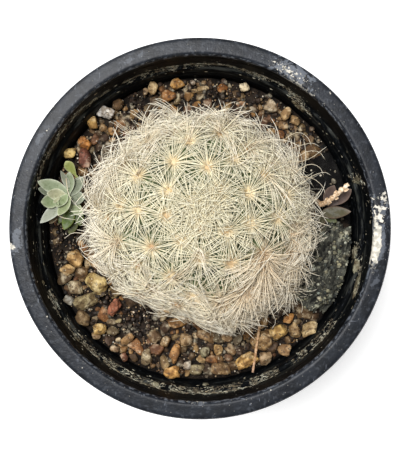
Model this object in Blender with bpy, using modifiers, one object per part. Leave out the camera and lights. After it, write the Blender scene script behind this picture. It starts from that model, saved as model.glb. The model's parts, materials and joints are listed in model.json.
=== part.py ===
"""A feather cactus in a round black nursery pot, with gravel, a stone and two small succulents.

Lengths are metres and +Z is up. The origin is the middle of the ring that the pot stands on.
Seen from above, +X is the right side of the pot and +Y its far side.
"""

import math
import random

import bmesh
import bpy
from mathutils import Matrix, Vector, noise

MM = 0.001
OBJECT_NAME = "potted_feather_cactus"
CLEARANCE = 0.3 * MM            # gap between pieces that touch
MERGE_DISTANCE = 0.01 * MM
WELD_DISTANCE = 0.0005 * MM
ROUND_STEPS = 44                # sides of everything that is turned about the pot's axis

# Pot: a thin tapered wall, a wider collar above it and a rim folded over outwards
POT_HEIGHT = 90 * MM
RIM_RADIUS = 52.5 * MM
RIM_INNER_RADIUS = 47.5 * MM
RIM_CROWN = 1.6 * MM
SKIRT_DEPTH = 5.6 * MM
COLLAR_BOTTOM = 79 * MM
WALL = 1.2 * MM
WALL_TOP_RADIUS = 46 * MM       # inner radius just under the collar's ledge
WALL_BOTTOM_RADIUS = 36 * MM
FLOOR_TOP = 3.4 * MM
FLOOR_RECESS = 1.8 * MM         # how far the floor's underside is above the bench
FOOT_INNER_RADIUS = 33 * MM
DRAIN_HOLE_RADIUS = 2.5 * MM
DRAIN_RING_RADIUS = 22 * MM
DRAIN_HOLES = 6

# Filling
MIX_TOP = 66 * MM
GRAVEL_BED_TOP = 71.2 * MM
PEBBLE_RADIUS = (2.2 * MM, 3.9 * MM)
PEBBLE_TOP_LIMIT = 74.8 * MM
PEBBLE_TRIES = 5200
PEBBLE_SPACING = 0.74           # of the sum of two pebbles' radii
PEBBLE_FLATNESS = (0.62, 0.85)
PEBBLE_WALL_LIMIT = 44.2 * MM   # no pebble reaches further out than this
PEBBLE_INNER_LIMIT = 24.4 * MM  # nor nearer to the middle of the cactus than this
PEBBLE_ROUGHNESS = (0.86, 1.06)
PEBBLE_SINK = (0.1 * MM, 1.0 * MM)      # height of a pebble's middle over the bed

# Cactus: a flattened ball of tubercles, each tipped with a star of spines
CACTUS_CENTRE = Vector((0.4 * MM, 1.7 * MM, 82 * MM))
CACTUS_LEAN = math.radians(8)   # the crown leans towards +Y
CORE_AXES = Vector((22.5 * MM, 22.5 * MM, 16.5 * MM))
TIP_AXES = Vector((27.6 * MM, 27.6 * MM, 21.0 * MM))
AREOLES = 104
AREOLE_LAST_ANGLE = math.radians(112)
GOLDEN_ANGLE = math.pi * (3 - math.sqrt(5))
AREOLE_LOWEST = 77.2 * MM
SPINE_LOWEST = 75.4 * MM
SPINES_PER_AREOLE = 10
TUBERCLE_RADIUS = 3.7 * MM
TUBERCLE_HEIGHT = 7.5 * MM
AREOLE_RADIUS = 0.9 * MM
AREOLE_RISE = 0.45 * MM
SPINE_LENGTH = 6.8 * MM
SPINE_EXTRA_AT_SIDE = 1.3 * MM
SPINE_LIFT_AT_CROWN = math.radians(17)
SPINE_LIFT_AT_SIDE = math.radians(44)
SPINE_TURN_SPREAD = 0.1         # radians
SPINE_LIFT_SPREAD = 0.12        # radians
SPINE_LENGTH_SPREAD = (0.86, 1.08)
SPINE_CLEARANCE = 0.6 * MM      # least distance from a spine to a neighbouring piece
NECK_RADIUS = 12 * MM
NECK_BOTTOM = 60.3 * MM
NECK_SIDES = 20

# Two offsets grow from the cactus low on its front right side
PUP_DIRECTIONS = (math.radians(-41), math.radians(-75))
PUP_DISTANCE = 21.5 * MM
PUP_HEIGHT = 81.5 * MM
PUP_CORE_RADIUS = 5.6 * MM
PUP_TIP_RADIUS = 8.6 * MM
PUP_AREOLES = 18
PUP_TUBERCLE_HEIGHT = 4 * MM
PUP_SIDE = 0.8                  # its spines are nearly as long and as raised as those at the cactus's side

# Small plants, stone and dry pieces
LEFT_STEM = Vector((-37.6 * MM, 9.7 * MM, 0))
RIGHT_STEM = Vector((35.6 * MM, 5.2 * MM, 0))
LEFT_STEM_TOP = 80.6 * MM
RIGHT_STEM_TOP = 78.6 * MM
STEM_RADIUS = 1.1 * MM
STEM_SIDES = 8
STALK_RADIUS = 0.55 * MM
STONE_RADIUS = 38.9 * MM        # middle of the stone, which follows the pot's wall
STONE_HALF_WIDTH = 5.2 * MM
STONE_ANGLES = (math.radians(-35), math.radians(1))
STONE_HEIGHT = 7.4 * MM
STONE_LUMPS = 0.3
STRAW_RADIUS = 0.45 * MM


def clear_scene():
    for scene_object in list(bpy.data.objects):
        bpy.data.objects.remove(scene_object)


def new_collection(name):
    collection = bpy.data.collections.new(name)
    bpy.context.scene.collection.children.link(collection)
    return collection


def new_material(name, colour, roughness):
    material = bpy.data.materials.new(name)
    material.use_nodes = True
    shader = material.node_tree.nodes["Principled BSDF"]
    shader.inputs["Base Color"].default_value = (*colour, 1)
    shader.inputs["Roughness"].default_value = roughness
    shader.inputs["Metallic"].default_value = 0
    material.diffuse_color = (*colour, 1)
    return material


def object_from_bmesh(name, bm, collection, matrix=None):
    """Turn a bmesh into an object whose mesh already holds its place."""
    if matrix is not None:
        bmesh.ops.transform(bm, matrix=matrix, verts=bm.verts)
    bmesh.ops.recalc_face_normals(bm, faces=bm.faces)
    mesh = bpy.data.meshes.new(name)
    bm.to_mesh(mesh)
    bm.free()
    new_object = bpy.data.objects.new(name, mesh)
    collection.objects.link(new_object)
    return new_object


def turned(name, profile, collection, steps=ROUND_STEPS):
    """Turn an outline of (radius, height) points about the Z axis."""
    mesh = bpy.data.meshes.new(name)
    edges = [(i, i + 1) for i in range(len(profile) - 1)]
    mesh.from_pydata([(radius, 0, height) for radius, height in profile], edges, [])
    new_object = bpy.data.objects.new(name, mesh)
    collection.objects.link(new_object)
    screw = new_object.modifiers.new("turn", "SCREW")
    screw.steps = steps
    screw.render_steps = steps
    screw.use_merge_vertices = True
    screw.merge_threshold = MERGE_DISTANCE
    return new_object


def bake(target):
    """Keep an object's evaluated mesh and drop its modifiers."""
    bpy.context.view_layer.update()
    graph = bpy.context.evaluated_depsgraph_get()
    mesh = bpy.data.meshes.new_from_object(target.evaluated_get(graph))
    target.modifiers.clear()
    target.data = mesh


def linked_points(start):
    """All points of a mesh that edges join to the given one."""
    found = {start}
    waiting = [start]
    while waiting:
        for edge in waiting.pop().link_edges:
            for point in edge.verts:
                if point not in found:
                    found.add(point)
                    waiting.append(point)
    return found


def tidy_mesh(target):
    """Merge points that a Boolean leaves on top of each other, and keep only the largest body.

    What is dropped is a loose scrap, or the skin of a hollow that the fused pieces seal.
    """
    bm = bmesh.new()
    bm.from_mesh(target.data)
    bmesh.ops.remove_doubles(bm, verts=bm.verts, dist=WELD_DISTANCE)
    bodies = []
    waiting = set(bm.verts)
    while waiting:
        body = linked_points(next(iter(waiting)))
        waiting -= body
        bodies.append(body)
    bodies.sort(key=len)
    for body in bodies[:-1]:
        bmesh.ops.delete(bm, geom=list(body), context="VERTS")
    bm.to_mesh(target.data)
    bm.free()


def boolean(target, collection, operation, solver="EXACT"):
    """Join a collection to an object, or cut it away, and remove the collection's objects."""
    modifier = target.modifiers.new(operation.lower(), "BOOLEAN")
    modifier.operation = operation
    modifier.operand_type = "COLLECTION"
    modifier.collection = collection
    modifier.solver = solver
    bake(target)
    tidy_mesh(target)
    for piece in list(collection.objects):
        bpy.data.objects.remove(piece)
    bpy.data.collections.remove(collection)


def finish_piece(piece, material, smooth_angle=None):
    piece.data.materials.clear()
    piece.data.materials.append(material)
    if smooth_angle is not None:
        piece.data.shade_smooth()
        piece.data.set_sharp_from_angle(angle=smooth_angle)


def wall_inner_radius(height):
    """Inner radius of the pot's tapered wall at a height under the collar."""
    share = (height - FLOOR_TOP) / (COLLAR_BOTTOM - FLOOR_TOP)
    return WALL_BOTTOM_RADIUS + share * (WALL_TOP_RADIUS - WALL_BOTTOM_RADIUS)


# Pot

def rim_arc(points):
    """The crown of the rim, from its inner edge over to its outer edge."""
    middle = (RIM_RADIUS + RIM_INNER_RADIUS) / 2
    half_width = (RIM_RADIUS - RIM_INNER_RADIUS) / 2
    arc = []
    for index in range(points + 1):
        angle = math.pi * (1 - index / points)
        radius = middle + half_width * math.cos(angle)
        arc.append((radius, POT_HEIGHT - RIM_CROWN + RIM_CROWN * math.sin(angle)))
    return arc


def make_pot(collection, material):
    ledge_radius = RIM_INNER_RADIUS - 0.4 * MM
    skirt_bottom = POT_HEIGHT - SKIRT_DEPTH
    under_crown = POT_HEIGHT - RIM_CROWN - 0.4 * MM
    profile = [
        (0, FLOOR_TOP),
        (WALL_BOTTOM_RADIUS - 1 * MM, FLOOR_TOP),
        (wall_inner_radius(FLOOR_TOP + 1 * MM), FLOOR_TOP + 1 * MM),
        (wall_inner_radius(COLLAR_BOTTOM - 0.6 * MM), COLLAR_BOTTOM - 0.6 * MM),
        (ledge_radius, COLLAR_BOTTOM + 0.3 * MM),
    ]
    profile += rim_arc(6)
    profile += [
        (RIM_RADIUS, skirt_bottom),
        (RIM_RADIUS - WALL, skirt_bottom),
        (RIM_RADIUS - WALL, under_crown),
        (RIM_INNER_RADIUS + WALL, under_crown),
        (ledge_radius + WALL, COLLAR_BOTTOM - 0.2 * MM),
        (wall_inner_radius(COLLAR_BOTTOM - 1.8 * MM) + WALL, COLLAR_BOTTOM - 1.8 * MM),
        (WALL_BOTTOM_RADIUS + WALL, FLOOR_TOP - 1 * MM),
        (WALL_BOTTOM_RADIUS + 0.4 * MM, 0),
        (FOOT_INNER_RADIUS, 0),
        (FOOT_INNER_RADIUS - 0.6 * MM, FLOOR_RECESS),
        (0, FLOOR_RECESS),
    ]
    pot = turned("pot", profile, collection)
    holes = new_collection("drain_holes")
    for index in range(DRAIN_HOLES):
        angle = 2 * math.pi * index / DRAIN_HOLES
        place = Vector((math.cos(angle), math.sin(angle), 0)) * DRAIN_RING_RADIUS
        bm = bmesh.new()
        bmesh.ops.create_cone(
            bm, cap_ends=True, segments=10, depth=8 * MM,
            radius1=DRAIN_HOLE_RADIUS, radius2=DRAIN_HOLE_RADIUS,
        )
        object_from_bmesh("drain_hole", bm, holes, Matrix.Translation(place))
    boolean(pot, holes, "DIFFERENCE")
    finish_piece(pot, material, math.radians(35))


# Filling

def upright_cylinder(name, collection, place, radius, bottom, top, segments):
    bm = bmesh.new()
    bmesh.ops.create_cone(
        bm, cap_ends=True, segments=segments, depth=top - bottom, radius1=radius, radius2=radius,
    )
    middle = Matrix.Translation((place.x, place.y, (top + bottom) / 2))
    return object_from_bmesh(name, bm, collection, middle)


def make_potting_mix(collection, material):
    bottom = FLOOR_TOP + CLEARANCE
    bottom_radius = WALL_BOTTOM_RADIUS - 1 * MM - CLEARANCE
    lower_edge = bottom + 1 * MM
    profile = [
        (0, MIX_TOP),
        (wall_inner_radius(MIX_TOP) - CLEARANCE, MIX_TOP),
        (wall_inner_radius(lower_edge) - CLEARANCE, lower_edge),
        (bottom_radius, bottom),
        (0, bottom),
    ]
    mix = turned("potting_mix", profile, collection)
    socket = new_collection("root_socket")
    upright_cylinder(
        "socket", socket, CACTUS_CENTRE, NECK_RADIUS + CLEARANCE,
        NECK_BOTTOM - CLEARANCE, MIX_TOP + 5 * MM, NECK_SIDES,
    )
    boolean(mix, socket, "DIFFERENCE")
    finish_piece(mix, material, math.radians(35))


def stone_covers(place, reach):
    """Whether a pebble of the given reach would touch the stone's footprint."""
    flat = Vector((place.x, place.y))
    angle = math.atan2(flat.y, flat.x)
    spare = reach / STONE_RADIUS
    in_angle = STONE_ANGLES[0] - spare < angle < STONE_ANGLES[1] + spare
    return in_angle and abs(flat.length - STONE_RADIUS) < STONE_HALF_WIDTH + reach


def pebble_places(draw):
    """Throw pebbles at the ring round the cactus and keep those that lie beside the others."""
    kept = []
    cactus = Vector((CACTUS_CENTRE.x, CACTUS_CENTRE.y))
    stems = [LEFT_STEM.xy, RIGHT_STEM.xy, stalk_route()[0].xy]
    for attempt in range(PEBBLE_TRIES):
        share = 1 - attempt / PEBBLE_TRIES
        largest = PEBBLE_RADIUS[0] + (PEBBLE_RADIUS[1] - PEBBLE_RADIUS[0]) * share
        radius = draw.uniform((PEBBLE_RADIUS[0] + largest) / 2, largest)
        angle = draw.uniform(0, 2 * math.pi)
        distance = PEBBLE_WALL_LIMIT * math.sqrt(draw.uniform(0.25, 1))
        place = Vector((distance * math.cos(angle), distance * math.sin(angle)))
        if place.length + radius > PEBBLE_WALL_LIMIT:
            continue
        if (place - cactus).length - radius < PEBBLE_INNER_LIMIT:
            continue
        if stone_covers(place, radius + CLEARANCE):
            continue
        if any((place - stem).length < radius + STEM_RADIUS + CLEARANCE for stem in stems):
            continue
        if any((place - other).length < PEBBLE_SPACING * (radius + size) for other, size in kept):
            continue
        kept.append((place, radius))
    return kept


def make_gravel(collection, material):
    bottom = MIX_TOP + CLEARANCE
    profile = [
        (0, GRAVEL_BED_TOP),
        (wall_inner_radius(GRAVEL_BED_TOP) - CLEARANCE, GRAVEL_BED_TOP),
        (wall_inner_radius(bottom) - CLEARANCE, bottom),
        (0, bottom),
    ]
    gravel = turned("gravel_dressing", profile, collection)
    draw = random.Random(14)
    pebbles = new_collection("pebbles")
    for place, radius in pebble_places(draw):
        bm = bmesh.new()
        bmesh.ops.create_icosphere(bm, subdivisions=1, radius=radius)
        for vertex in bm.verts:
            vertex.co *= draw.uniform(*PEBBLE_ROUGHNESS)
        flatness = draw.uniform(*PEBBLE_FLATNESS)
        height = min(GRAVEL_BED_TOP + draw.uniform(*PEBBLE_SINK), PEBBLE_TOP_LIMIT - radius * flatness)
        shape = Matrix.Translation((place.x, place.y, height))
        shape @= Matrix.Rotation(draw.uniform(0, 2 * math.pi), 4, "Z")
        shape @= Matrix.Diagonal((1, draw.uniform(0.78, 1), flatness, 1))
        object_from_bmesh("pebble", bm, pebbles, shape)
    boolean(gravel, pebbles, "UNION", "MANIFOLD")

    hollows = new_collection("gravel_hollows")
    make_core("seat", hollows, CLEARANCE)
    bottom_cut = bottom - 1 * MM
    top_cut = PEBBLE_TOP_LIMIT + 2 * MM
    upright_cylinder("neck", hollows, CACTUS_CENTRE, NECK_RADIUS + CLEARANCE, bottom_cut, top_cut, NECK_SIDES)
    for stem in (LEFT_STEM, RIGHT_STEM):
        upright_cylinder("stem", hollows, stem, STEM_RADIUS + CLEARANCE, bottom_cut, top_cut, STEM_SIDES)
    stalk_foot = stalk_route()[0]
    upright_cylinder("stalk", hollows, stalk_foot, STALK_RADIUS + CLEARANCE, bottom_cut, top_cut, STEM_SIDES)
    tube("straw_bed", straw_route(), STRAW_RADIUS + CLEARANCE, hollows)
    boolean(gravel, hollows, "DIFFERENCE", "MANIFOLD")
    finish_piece(gravel, material)


# Cactus

def cactus_frame():
    """Place of the cactus ball: its centre, and its lean towards +Y."""
    return Matrix.Translation(CACTUS_CENTRE) @ Matrix.Rotation(-CACTUS_LEAN, 4, "X")


def make_core(name, collection, growth=0.0):
    """The flattened ball that the tubercles stand on."""
    bm = bmesh.new()
    bmesh.ops.create_uvsphere(bm, u_segments=18, v_segments=10, radius=1)
    axes = CORE_AXES + Vector((growth, growth, growth))
    return object_from_bmesh(name, bm, collection, cactus_frame() @ Matrix.Diagonal((*axes, 1)))


def frame_on(place, direction, turn):
    """A matrix whose Z axis is the given direction, turned about it."""
    return Matrix.Translation(place) @ direction.to_track_quat("Z", "Y").to_matrix().to_4x4() \
        @ Matrix.Rotation(turn, 4, "Z")


def neighbours():
    """Capsules (start, end, radius) that the spines stay clear of."""
    capsules = []
    plants = ((LEFT_STEM, LEFT_LEAVES, LEFT_STEM_TOP), (RIGHT_STEM, RIGHT_LEAVES, RIGHT_STEM_TOP))
    for stem, leaves, top in plants:
        capsules.append((stem + Vector((0, 0, GRAVEL_BED_TOP)), stem + Vector((0, 0, top)), STEM_RADIUS))
        for leaf in leaves:
            start, end = leaf_ends(stem, leaf)
            capsules.append((start, end, leaf["width"] * MM / 2))
    stalk = stalk_route()
    capsules += [(stalk[i], stalk[i + 1], 2 * STALK_RADIUS) for i in range(len(stalk) - 1)]
    steps = 6
    for index in range(steps):
        ends = []
        for step in (index, index + 1):
            angle = STONE_ANGLES[0] + (STONE_ANGLES[1] - STONE_ANGLES[0]) * step / steps
            ends.append(Vector((math.cos(angle), math.sin(angle), 0)) * STONE_RADIUS)
            ends[-1].z = GRAVEL_BED_TOP + STONE_HEIGHT / 2
        capsules.append((ends[0], ends[1], STONE_HALF_WIDTH))
    return capsules


def distance_to_segment(point, start, end):
    along = end - start
    share = max(0, min(1, (point - start).dot(along) / along.length_squared))
    return (point - start - along * share).length


def clear_tip(root, tip, capsules):
    """Shorten a spine until it ends clear of the gravel and of every neighbour."""
    tip = tip.copy()
    tip.z = max(tip.z, SPINE_LOWEST)
    for attempt in range(12):
        samples = [root.lerp(tip, share) for share in (0.5, 0.7, 0.85, 1)]
        touches = any(
            distance_to_segment(sample, start, end) < radius + SPINE_CLEARANCE
            for sample in samples for start, end, radius in capsules
        )
        if not touches:
            break
        tip = root.lerp(tip, 0.9)
    return tip


def add_areole(collection, tip, direction, height, side, draw, capsules):
    """A tubercle with a star of spines: a cone whose top rim has a point drawn out between its corners."""
    lift = SPINE_LIFT_AT_CROWN + (SPINE_LIFT_AT_SIDE - SPINE_LIFT_AT_CROWN) * side
    length = SPINE_LENGTH + SPINE_EXTRA_AT_SIDE * side
    place = frame_on(tip, direction, draw.uniform(0, 2 * math.pi))
    to_local = place.inverted()
    bm = bmesh.new()
    bmesh.ops.create_cone(
        bm, cap_ends=True, segments=SPINES_PER_AREOLE, depth=height,
        radius1=TUBERCLE_RADIUS, radius2=AREOLE_RADIUS,
    )
    bmesh.ops.translate(bm, vec=(0, 0, -height / 2), verts=bm.verts)
    bm.faces.ensure_lookup_table()
    top = max(bm.faces, key=lambda face: face.calc_center_median().z)
    rim = list(top.edges)
    middle = bmesh.ops.poke(bm, faces=[top])["verts"][0]
    middle.co.z = AREOLE_RISE
    for edge in rim:
        corners = list(edge.verts)
        upper = next(face for face in edge.link_faces if middle in face.verts)
        lower = next(face for face in edge.link_faces if middle not in face.verts)
        point = bmesh.utils.edge_split(edge, corners[0], 0.5)[1]
        bmesh.utils.face_split(upper, middle, point)
        bmesh.utils.face_split(lower, corners[0], corners[1])
        angle = math.atan2(point.co.y, point.co.x) + draw.uniform(-SPINE_TURN_SPREAD, SPINE_TURN_SPREAD)
        reach = length * draw.uniform(*SPINE_LENGTH_SPREAD)
        spine_lift = lift + draw.uniform(-SPINE_LIFT_SPREAD, SPINE_LIFT_SPREAD)
        flat = reach * math.cos(spine_lift)
        end = place @ Vector((flat * math.cos(angle), flat * math.sin(angle), reach * math.sin(spine_lift)))
        point.co = to_local @ clear_tip(tip, end, capsules)
    object_from_bmesh("areole", bm, collection, place)


def inside_ball(point, frame, axes):
    local = frame.inverted() @ point
    return sum((local[i] / axes[i]) ** 2 for i in range(3)) < 1


def spiral_direction(index, cosine):
    """Direction of a tubercle: each is a golden angle further round than the one before it."""
    sine = math.sqrt(1 - cosine * cosine)
    around = index * GOLDEN_ANGLE
    return Vector((sine * math.cos(around), sine * math.sin(around), cosine))


def make_cactus(collection, material):
    cactus = make_core("feather_cactus", collection)
    draw = random.Random(5)
    capsules = neighbours()
    frame = cactus_frame()
    parts = new_collection("cactus_parts")
    upright_cylinder(
        "neck", parts, CACTUS_CENTRE, NECK_RADIUS, NECK_BOTTOM, CACTUS_CENTRE.z, NECK_SIDES,
    )
    pup_centres = []
    for angle in PUP_DIRECTIONS:
        centre = Vector((math.cos(angle), math.sin(angle), 0)) * PUP_DISTANCE
        pup_centres.append(centre + Vector((CACTUS_CENTRE.x, CACTUS_CENTRE.y, PUP_HEIGHT)))

    for index in range(AREOLES):
        share = (index + 0.5) / AREOLES
        cosine = 1 - share * (1 - math.cos(AREOLE_LAST_ANGLE))
        unit = spiral_direction(index, cosine)
        tip = frame @ Vector([unit[i] * TIP_AXES[i] for i in range(3)])
        normal = Vector([unit[i] / TIP_AXES[i] for i in range(3)])
        direction = (frame.to_3x3() @ normal).normalized()
        if tip.z < AREOLE_LOWEST:
            continue
        if any((tip - centre).length < PUP_TIP_RADIUS for centre in pup_centres):
            continue
        side = min(1, math.acos(cosine) / (math.pi / 2))
        add_areole(parts, tip, direction, TUBERCLE_HEIGHT, side, draw, capsules)

    for centre in pup_centres:
        bm = bmesh.new()
        bmesh.ops.create_icosphere(bm, subdivisions=2, radius=PUP_CORE_RADIUS)
        object_from_bmesh("pup", bm, parts, Matrix.Translation(centre))
        for index in range(PUP_AREOLES):
            direction = spiral_direction(index, 1 - 2 * (index + 0.5) / PUP_AREOLES)
            tip = centre + direction * PUP_TIP_RADIUS
            if tip.z < AREOLE_LOWEST or inside_ball(tip, frame, TIP_AXES):
                continue
            add_areole(parts, tip, direction, PUP_TUBERCLE_HEIGHT, PUP_SIDE, draw, capsules)
    boolean(cactus, parts, "UNION", "MANIFOLD")
    finish_piece(cactus, material)


# Small plants

# Each leaf: azimuth in degrees, length, width, thickness, height of its root, rise of its tip
LEFT_LEAVES = [
    {"azimuth": 163, "length": 8.6, "width": 4.2, "thickness": 1.5, "root": 79.6, "rise": 4.6},
    {"azimuth": 183, "length": 7.8, "width": 3.4, "thickness": 1.3, "root": 78.0, "rise": 4.4},
    {"azimuth": 205, "length": 6.4, "width": 4.4, "thickness": 1.4, "root": 80.2, "rise": 3.4},
    {"azimuth": 226, "length": 9.0, "width": 3.4, "thickness": 1.3, "root": 78.2, "rise": 3.0},
    {"azimuth": 251, "length": 6.0, "width": 3.2, "thickness": 1.3, "root": 80.0, "rise": 2.8},
    {"azimuth": 112, "length": 7.0, "width": 3.2, "thickness": 1.3, "root": 79.4, "rise": 3.6},
    {"azimuth": 82, "length": 5.6, "width": 3.2, "thickness": 1.3, "root": 78.4, "rise": 2.6},
    {"azimuth": 40, "length": 4.6, "width": 3.0, "thickness": 1.2, "root": 78.4, "rise": 2.4},
    {"azimuth": 330, "length": 4.2, "width": 3.0, "thickness": 1.2, "root": 78.0, "rise": 2.0},
    {"azimuth": 86, "length": 10.2, "width": 2.8, "thickness": 1.8, "root": 74.0, "rise": 4.6},
    {"azimuth": 258, "length": 10.0, "width": 3.4, "thickness": 1.5, "root": 74.6, "rise": 1.6},
    {"azimuth": 281, "length": 7.6, "width": 2.8, "thickness": 1.5, "root": 74.8, "rise": 1.8},
]
RIGHT_LEAVES = [
    {"azimuth": 358, "length": 8.0, "width": 4.0, "thickness": 1.5, "root": 77.6, "rise": 2.2},
    {"azimuth": 44, "length": 7.6, "width": 5.0, "thickness": 1.5, "root": 75.8, "rise": 2.2},
    {"azimuth": 318, "length": 4.0, "width": 2.8, "thickness": 1.2, "root": 78.2, "rise": 1.0},
    {"azimuth": 252, "length": 4.6, "width": 3.0, "thickness": 1.3, "root": 76.8, "rise": 1.4},
]


def leaf_ends(stem, leaf):
    angle = math.radians(leaf["azimuth"])
    start = stem + Vector((0, 0, leaf["root"] * MM))
    along = Vector((math.cos(angle), math.sin(angle), 0)) * leaf["length"] * MM
    return start, start + along + Vector((0, 0, leaf["rise"] * MM))


def add_leaf(collection, stem, leaf):
    """A thick pointed leaf that starts inside the stem and curves up towards its tip."""
    bm = bmesh.new()
    bmesh.ops.create_uvsphere(bm, u_segments=6, v_segments=6, radius=1)
    for vertex in bm.verts:
        along = (vertex.co.z + 1) / 2
        ring = Vector((vertex.co.x, vertex.co.y))
        if ring.length > 0.01:
            ring.normalize()
        fullness = max(0, math.sin(math.pi * along ** 0.85)) ** 0.8
        keel = leaf["thickness"] / 2 * fullness ** 0.7
        curve = leaf["rise"] * (0.3 * along + 0.7 * along * along)
        vertex.co = Vector((
            leaf["length"] * along,
            leaf["width"] / 2 * fullness * ring.x,
            curve + keel * ring.y,
        )) * MM
    place = Matrix.Translation(stem + Vector((0, 0, leaf["root"] * MM)))
    place @= Matrix.Rotation(math.radians(leaf["azimuth"]), 4, "Z")
    object_from_bmesh("leaf", bm, collection, place)


def make_rosette(name, stem, leaves, stem_top, collection, material):
    bottom = MIX_TOP + CLEARANCE
    rosette = upright_cylinder(name, collection, stem, STEM_RADIUS, bottom, stem_top, STEM_SIDES)
    parts = new_collection(name + "_leaves")
    for leaf in leaves:
        add_leaf(parts, stem, leaf)
    boolean(rosette, parts, "UNION")
    finish_piece(rosette, material)


# Dry pieces and stone

def tube(name, route, radius, collection):
    """A round wire along the route, as a closed mesh."""
    curve = bpy.data.curves.new(name, "CURVE")
    curve.dimensions = "3D"
    curve.bevel_depth = radius
    curve.bevel_resolution = 1
    curve.use_fill_caps = True
    spline = curve.splines.new("POLY")
    spline.points.add(len(route) - 1)
    for point, place in zip(spline.points, route):
        point.co = (*place, 1)
    wire = bpy.data.objects.new(name + "_wire", curve)
    collection.objects.link(wire)
    bpy.context.view_layer.update()
    graph = bpy.context.evaluated_depsgraph_get()
    mesh = bpy.data.meshes.new_from_object(wire.evaluated_get(graph))
    bpy.data.objects.remove(wire)
    bm = bmesh.new()
    bm.from_mesh(mesh)
    bmesh.ops.remove_doubles(bm, verts=bm.verts, dist=MERGE_DISTANCE)
    bpy.data.meshes.remove(mesh)
    return object_from_bmesh(name, bm, collection)


def stalk_route():
    """A dry flower stalk: upright out of the gravel, then leaning out over the right rosette."""
    return [Vector(point) * MM for point in (
        (33.4, 9.2, 66.3), (33.5, 9.2, 74), (34.2, 9.4, 80),
        (36.2, 10.2, 83.4), (39, 11.2, 85), (42, 12.4, 86.2),
    )]


def straw_route():
    """A straw that lies sunk between the pebbles in front of the cactus."""
    return [Vector(point) * MM for point in (
        (17.2, -29.4, 74.6), (16.6, -33.5, 74.4), (16.0, -38, 74.1), (15.4, -42, 73.8),
    )]


def make_stalk(collection, material):
    route = stalk_route()
    stalk = tube("dry_stalk", route, STALK_RADIUS, collection)
    buds = new_collection("stalk_buds")
    for index in range(7):
        share = index / 6
        place = route[3].lerp(route[5], share)
        side = Vector((0, 0, (-1) ** index)) * 0.35 * MM
        bm = bmesh.new()
        bmesh.ops.create_icosphere(bm, subdivisions=1, radius=(0.95 - 0.3 * share) * MM)
        object_from_bmesh("bud", bm, buds, Matrix.Translation(place + side))
    boolean(stalk, buds, "UNION")
    finish_piece(stalk, material)


def make_stone(collection, material):
    """A rough cinder stone that lies along the wall of the pot."""
    bm = bmesh.new()
    bmesh.ops.create_icosphere(bm, subdivisions=3, radius=1)
    bottom = GRAVEL_BED_TOP + CLEARANCE
    middle_angle = sum(STONE_ANGLES) / 2
    half_angle = (STONE_ANGLES[1] - STONE_ANGLES[0]) / 2
    for vertex in bm.verts:
        unit = vertex.co.normalized()
        squareness = max(abs(unit.x), abs(unit.y), abs(unit.z)) ** -0.4
        lumps = 1 + STONE_LUMPS * noise.noise(unit * 2.1) + STONE_LUMPS / 2 * noise.noise(unit * 4.7)
        place = unit * squareness * lumps
        radius = STONE_RADIUS + STONE_HALF_WIDTH * min(1, place.x)
        angle = middle_angle + half_angle * max(-1, min(1, place.y))
        height = bottom + STONE_HEIGHT * (0.4 + 0.5 * place.z)
        vertex.co = Vector((radius * math.cos(angle), radius * math.sin(angle), max(bottom, height)))
    stone = object_from_bmesh("lava_stone", bm, collection)
    finish_piece(stone, material)


def make_straw(collection, material):
    straw = tube("straw", straw_route(), STRAW_RADIUS, collection)
    finish_piece(straw, material)


def main():
    clear_scene()
    parts = new_collection(OBJECT_NAME)
    make_pot(parts, new_material("black_plastic", (0.045, 0.05, 0.06), 0.5))
    make_potting_mix(parts, new_material("soil", (0.05, 0.032, 0.022), 0.95))
    make_gravel(parts, new_material("gravel", (0.36, 0.24, 0.13), 0.75))
    make_cactus(parts, new_material("cactus", (0.62, 0.58, 0.44), 0.8))
    make_rosette(
        "left_rosette", LEFT_STEM, LEFT_LEAVES, LEFT_STEM_TOP, parts,
        new_material("grey_green_leaf", (0.3, 0.38, 0.24), 0.6),
    )
    make_rosette(
        "right_rosette", RIGHT_STEM, RIGHT_LEAVES, RIGHT_STEM_TOP, parts,
        new_material("brown_leaf", (0.2, 0.16, 0.1), 0.55),
    )
    make_stalk(parts, new_material("dry_stalk", (0.55, 0.38, 0.22), 0.85))
    make_stone(parts, new_material("cinder", (0.06, 0.06, 0.06), 0.95))
    make_straw(parts, new_material("straw", (0.5, 0.33, 0.16), 0.7))


main()
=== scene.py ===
import json
import math

import bmesh
import bpy
import numpy as np
from mathutils import Matrix, Vector, noise

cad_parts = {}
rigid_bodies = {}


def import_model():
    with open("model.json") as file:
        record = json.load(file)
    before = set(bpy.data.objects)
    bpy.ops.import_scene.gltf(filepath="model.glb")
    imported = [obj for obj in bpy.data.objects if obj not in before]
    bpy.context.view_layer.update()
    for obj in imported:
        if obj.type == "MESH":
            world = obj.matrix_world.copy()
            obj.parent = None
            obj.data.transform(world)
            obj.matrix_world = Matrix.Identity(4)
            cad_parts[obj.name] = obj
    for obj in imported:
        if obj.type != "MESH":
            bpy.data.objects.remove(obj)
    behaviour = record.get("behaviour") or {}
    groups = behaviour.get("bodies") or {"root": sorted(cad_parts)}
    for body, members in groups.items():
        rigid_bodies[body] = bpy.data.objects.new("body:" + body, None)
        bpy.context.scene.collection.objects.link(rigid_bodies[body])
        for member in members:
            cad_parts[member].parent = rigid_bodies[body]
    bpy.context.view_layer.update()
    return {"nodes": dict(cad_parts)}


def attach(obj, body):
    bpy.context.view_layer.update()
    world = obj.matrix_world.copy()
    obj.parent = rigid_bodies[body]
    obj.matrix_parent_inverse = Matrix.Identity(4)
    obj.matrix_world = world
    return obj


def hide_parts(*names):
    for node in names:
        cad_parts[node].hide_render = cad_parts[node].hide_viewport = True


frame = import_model()
cadNodes = frame["nodes"]
mm = 0.001
print("frame loaded with", len(cadNodes), "nodes")


# small helpers for shader trees

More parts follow.
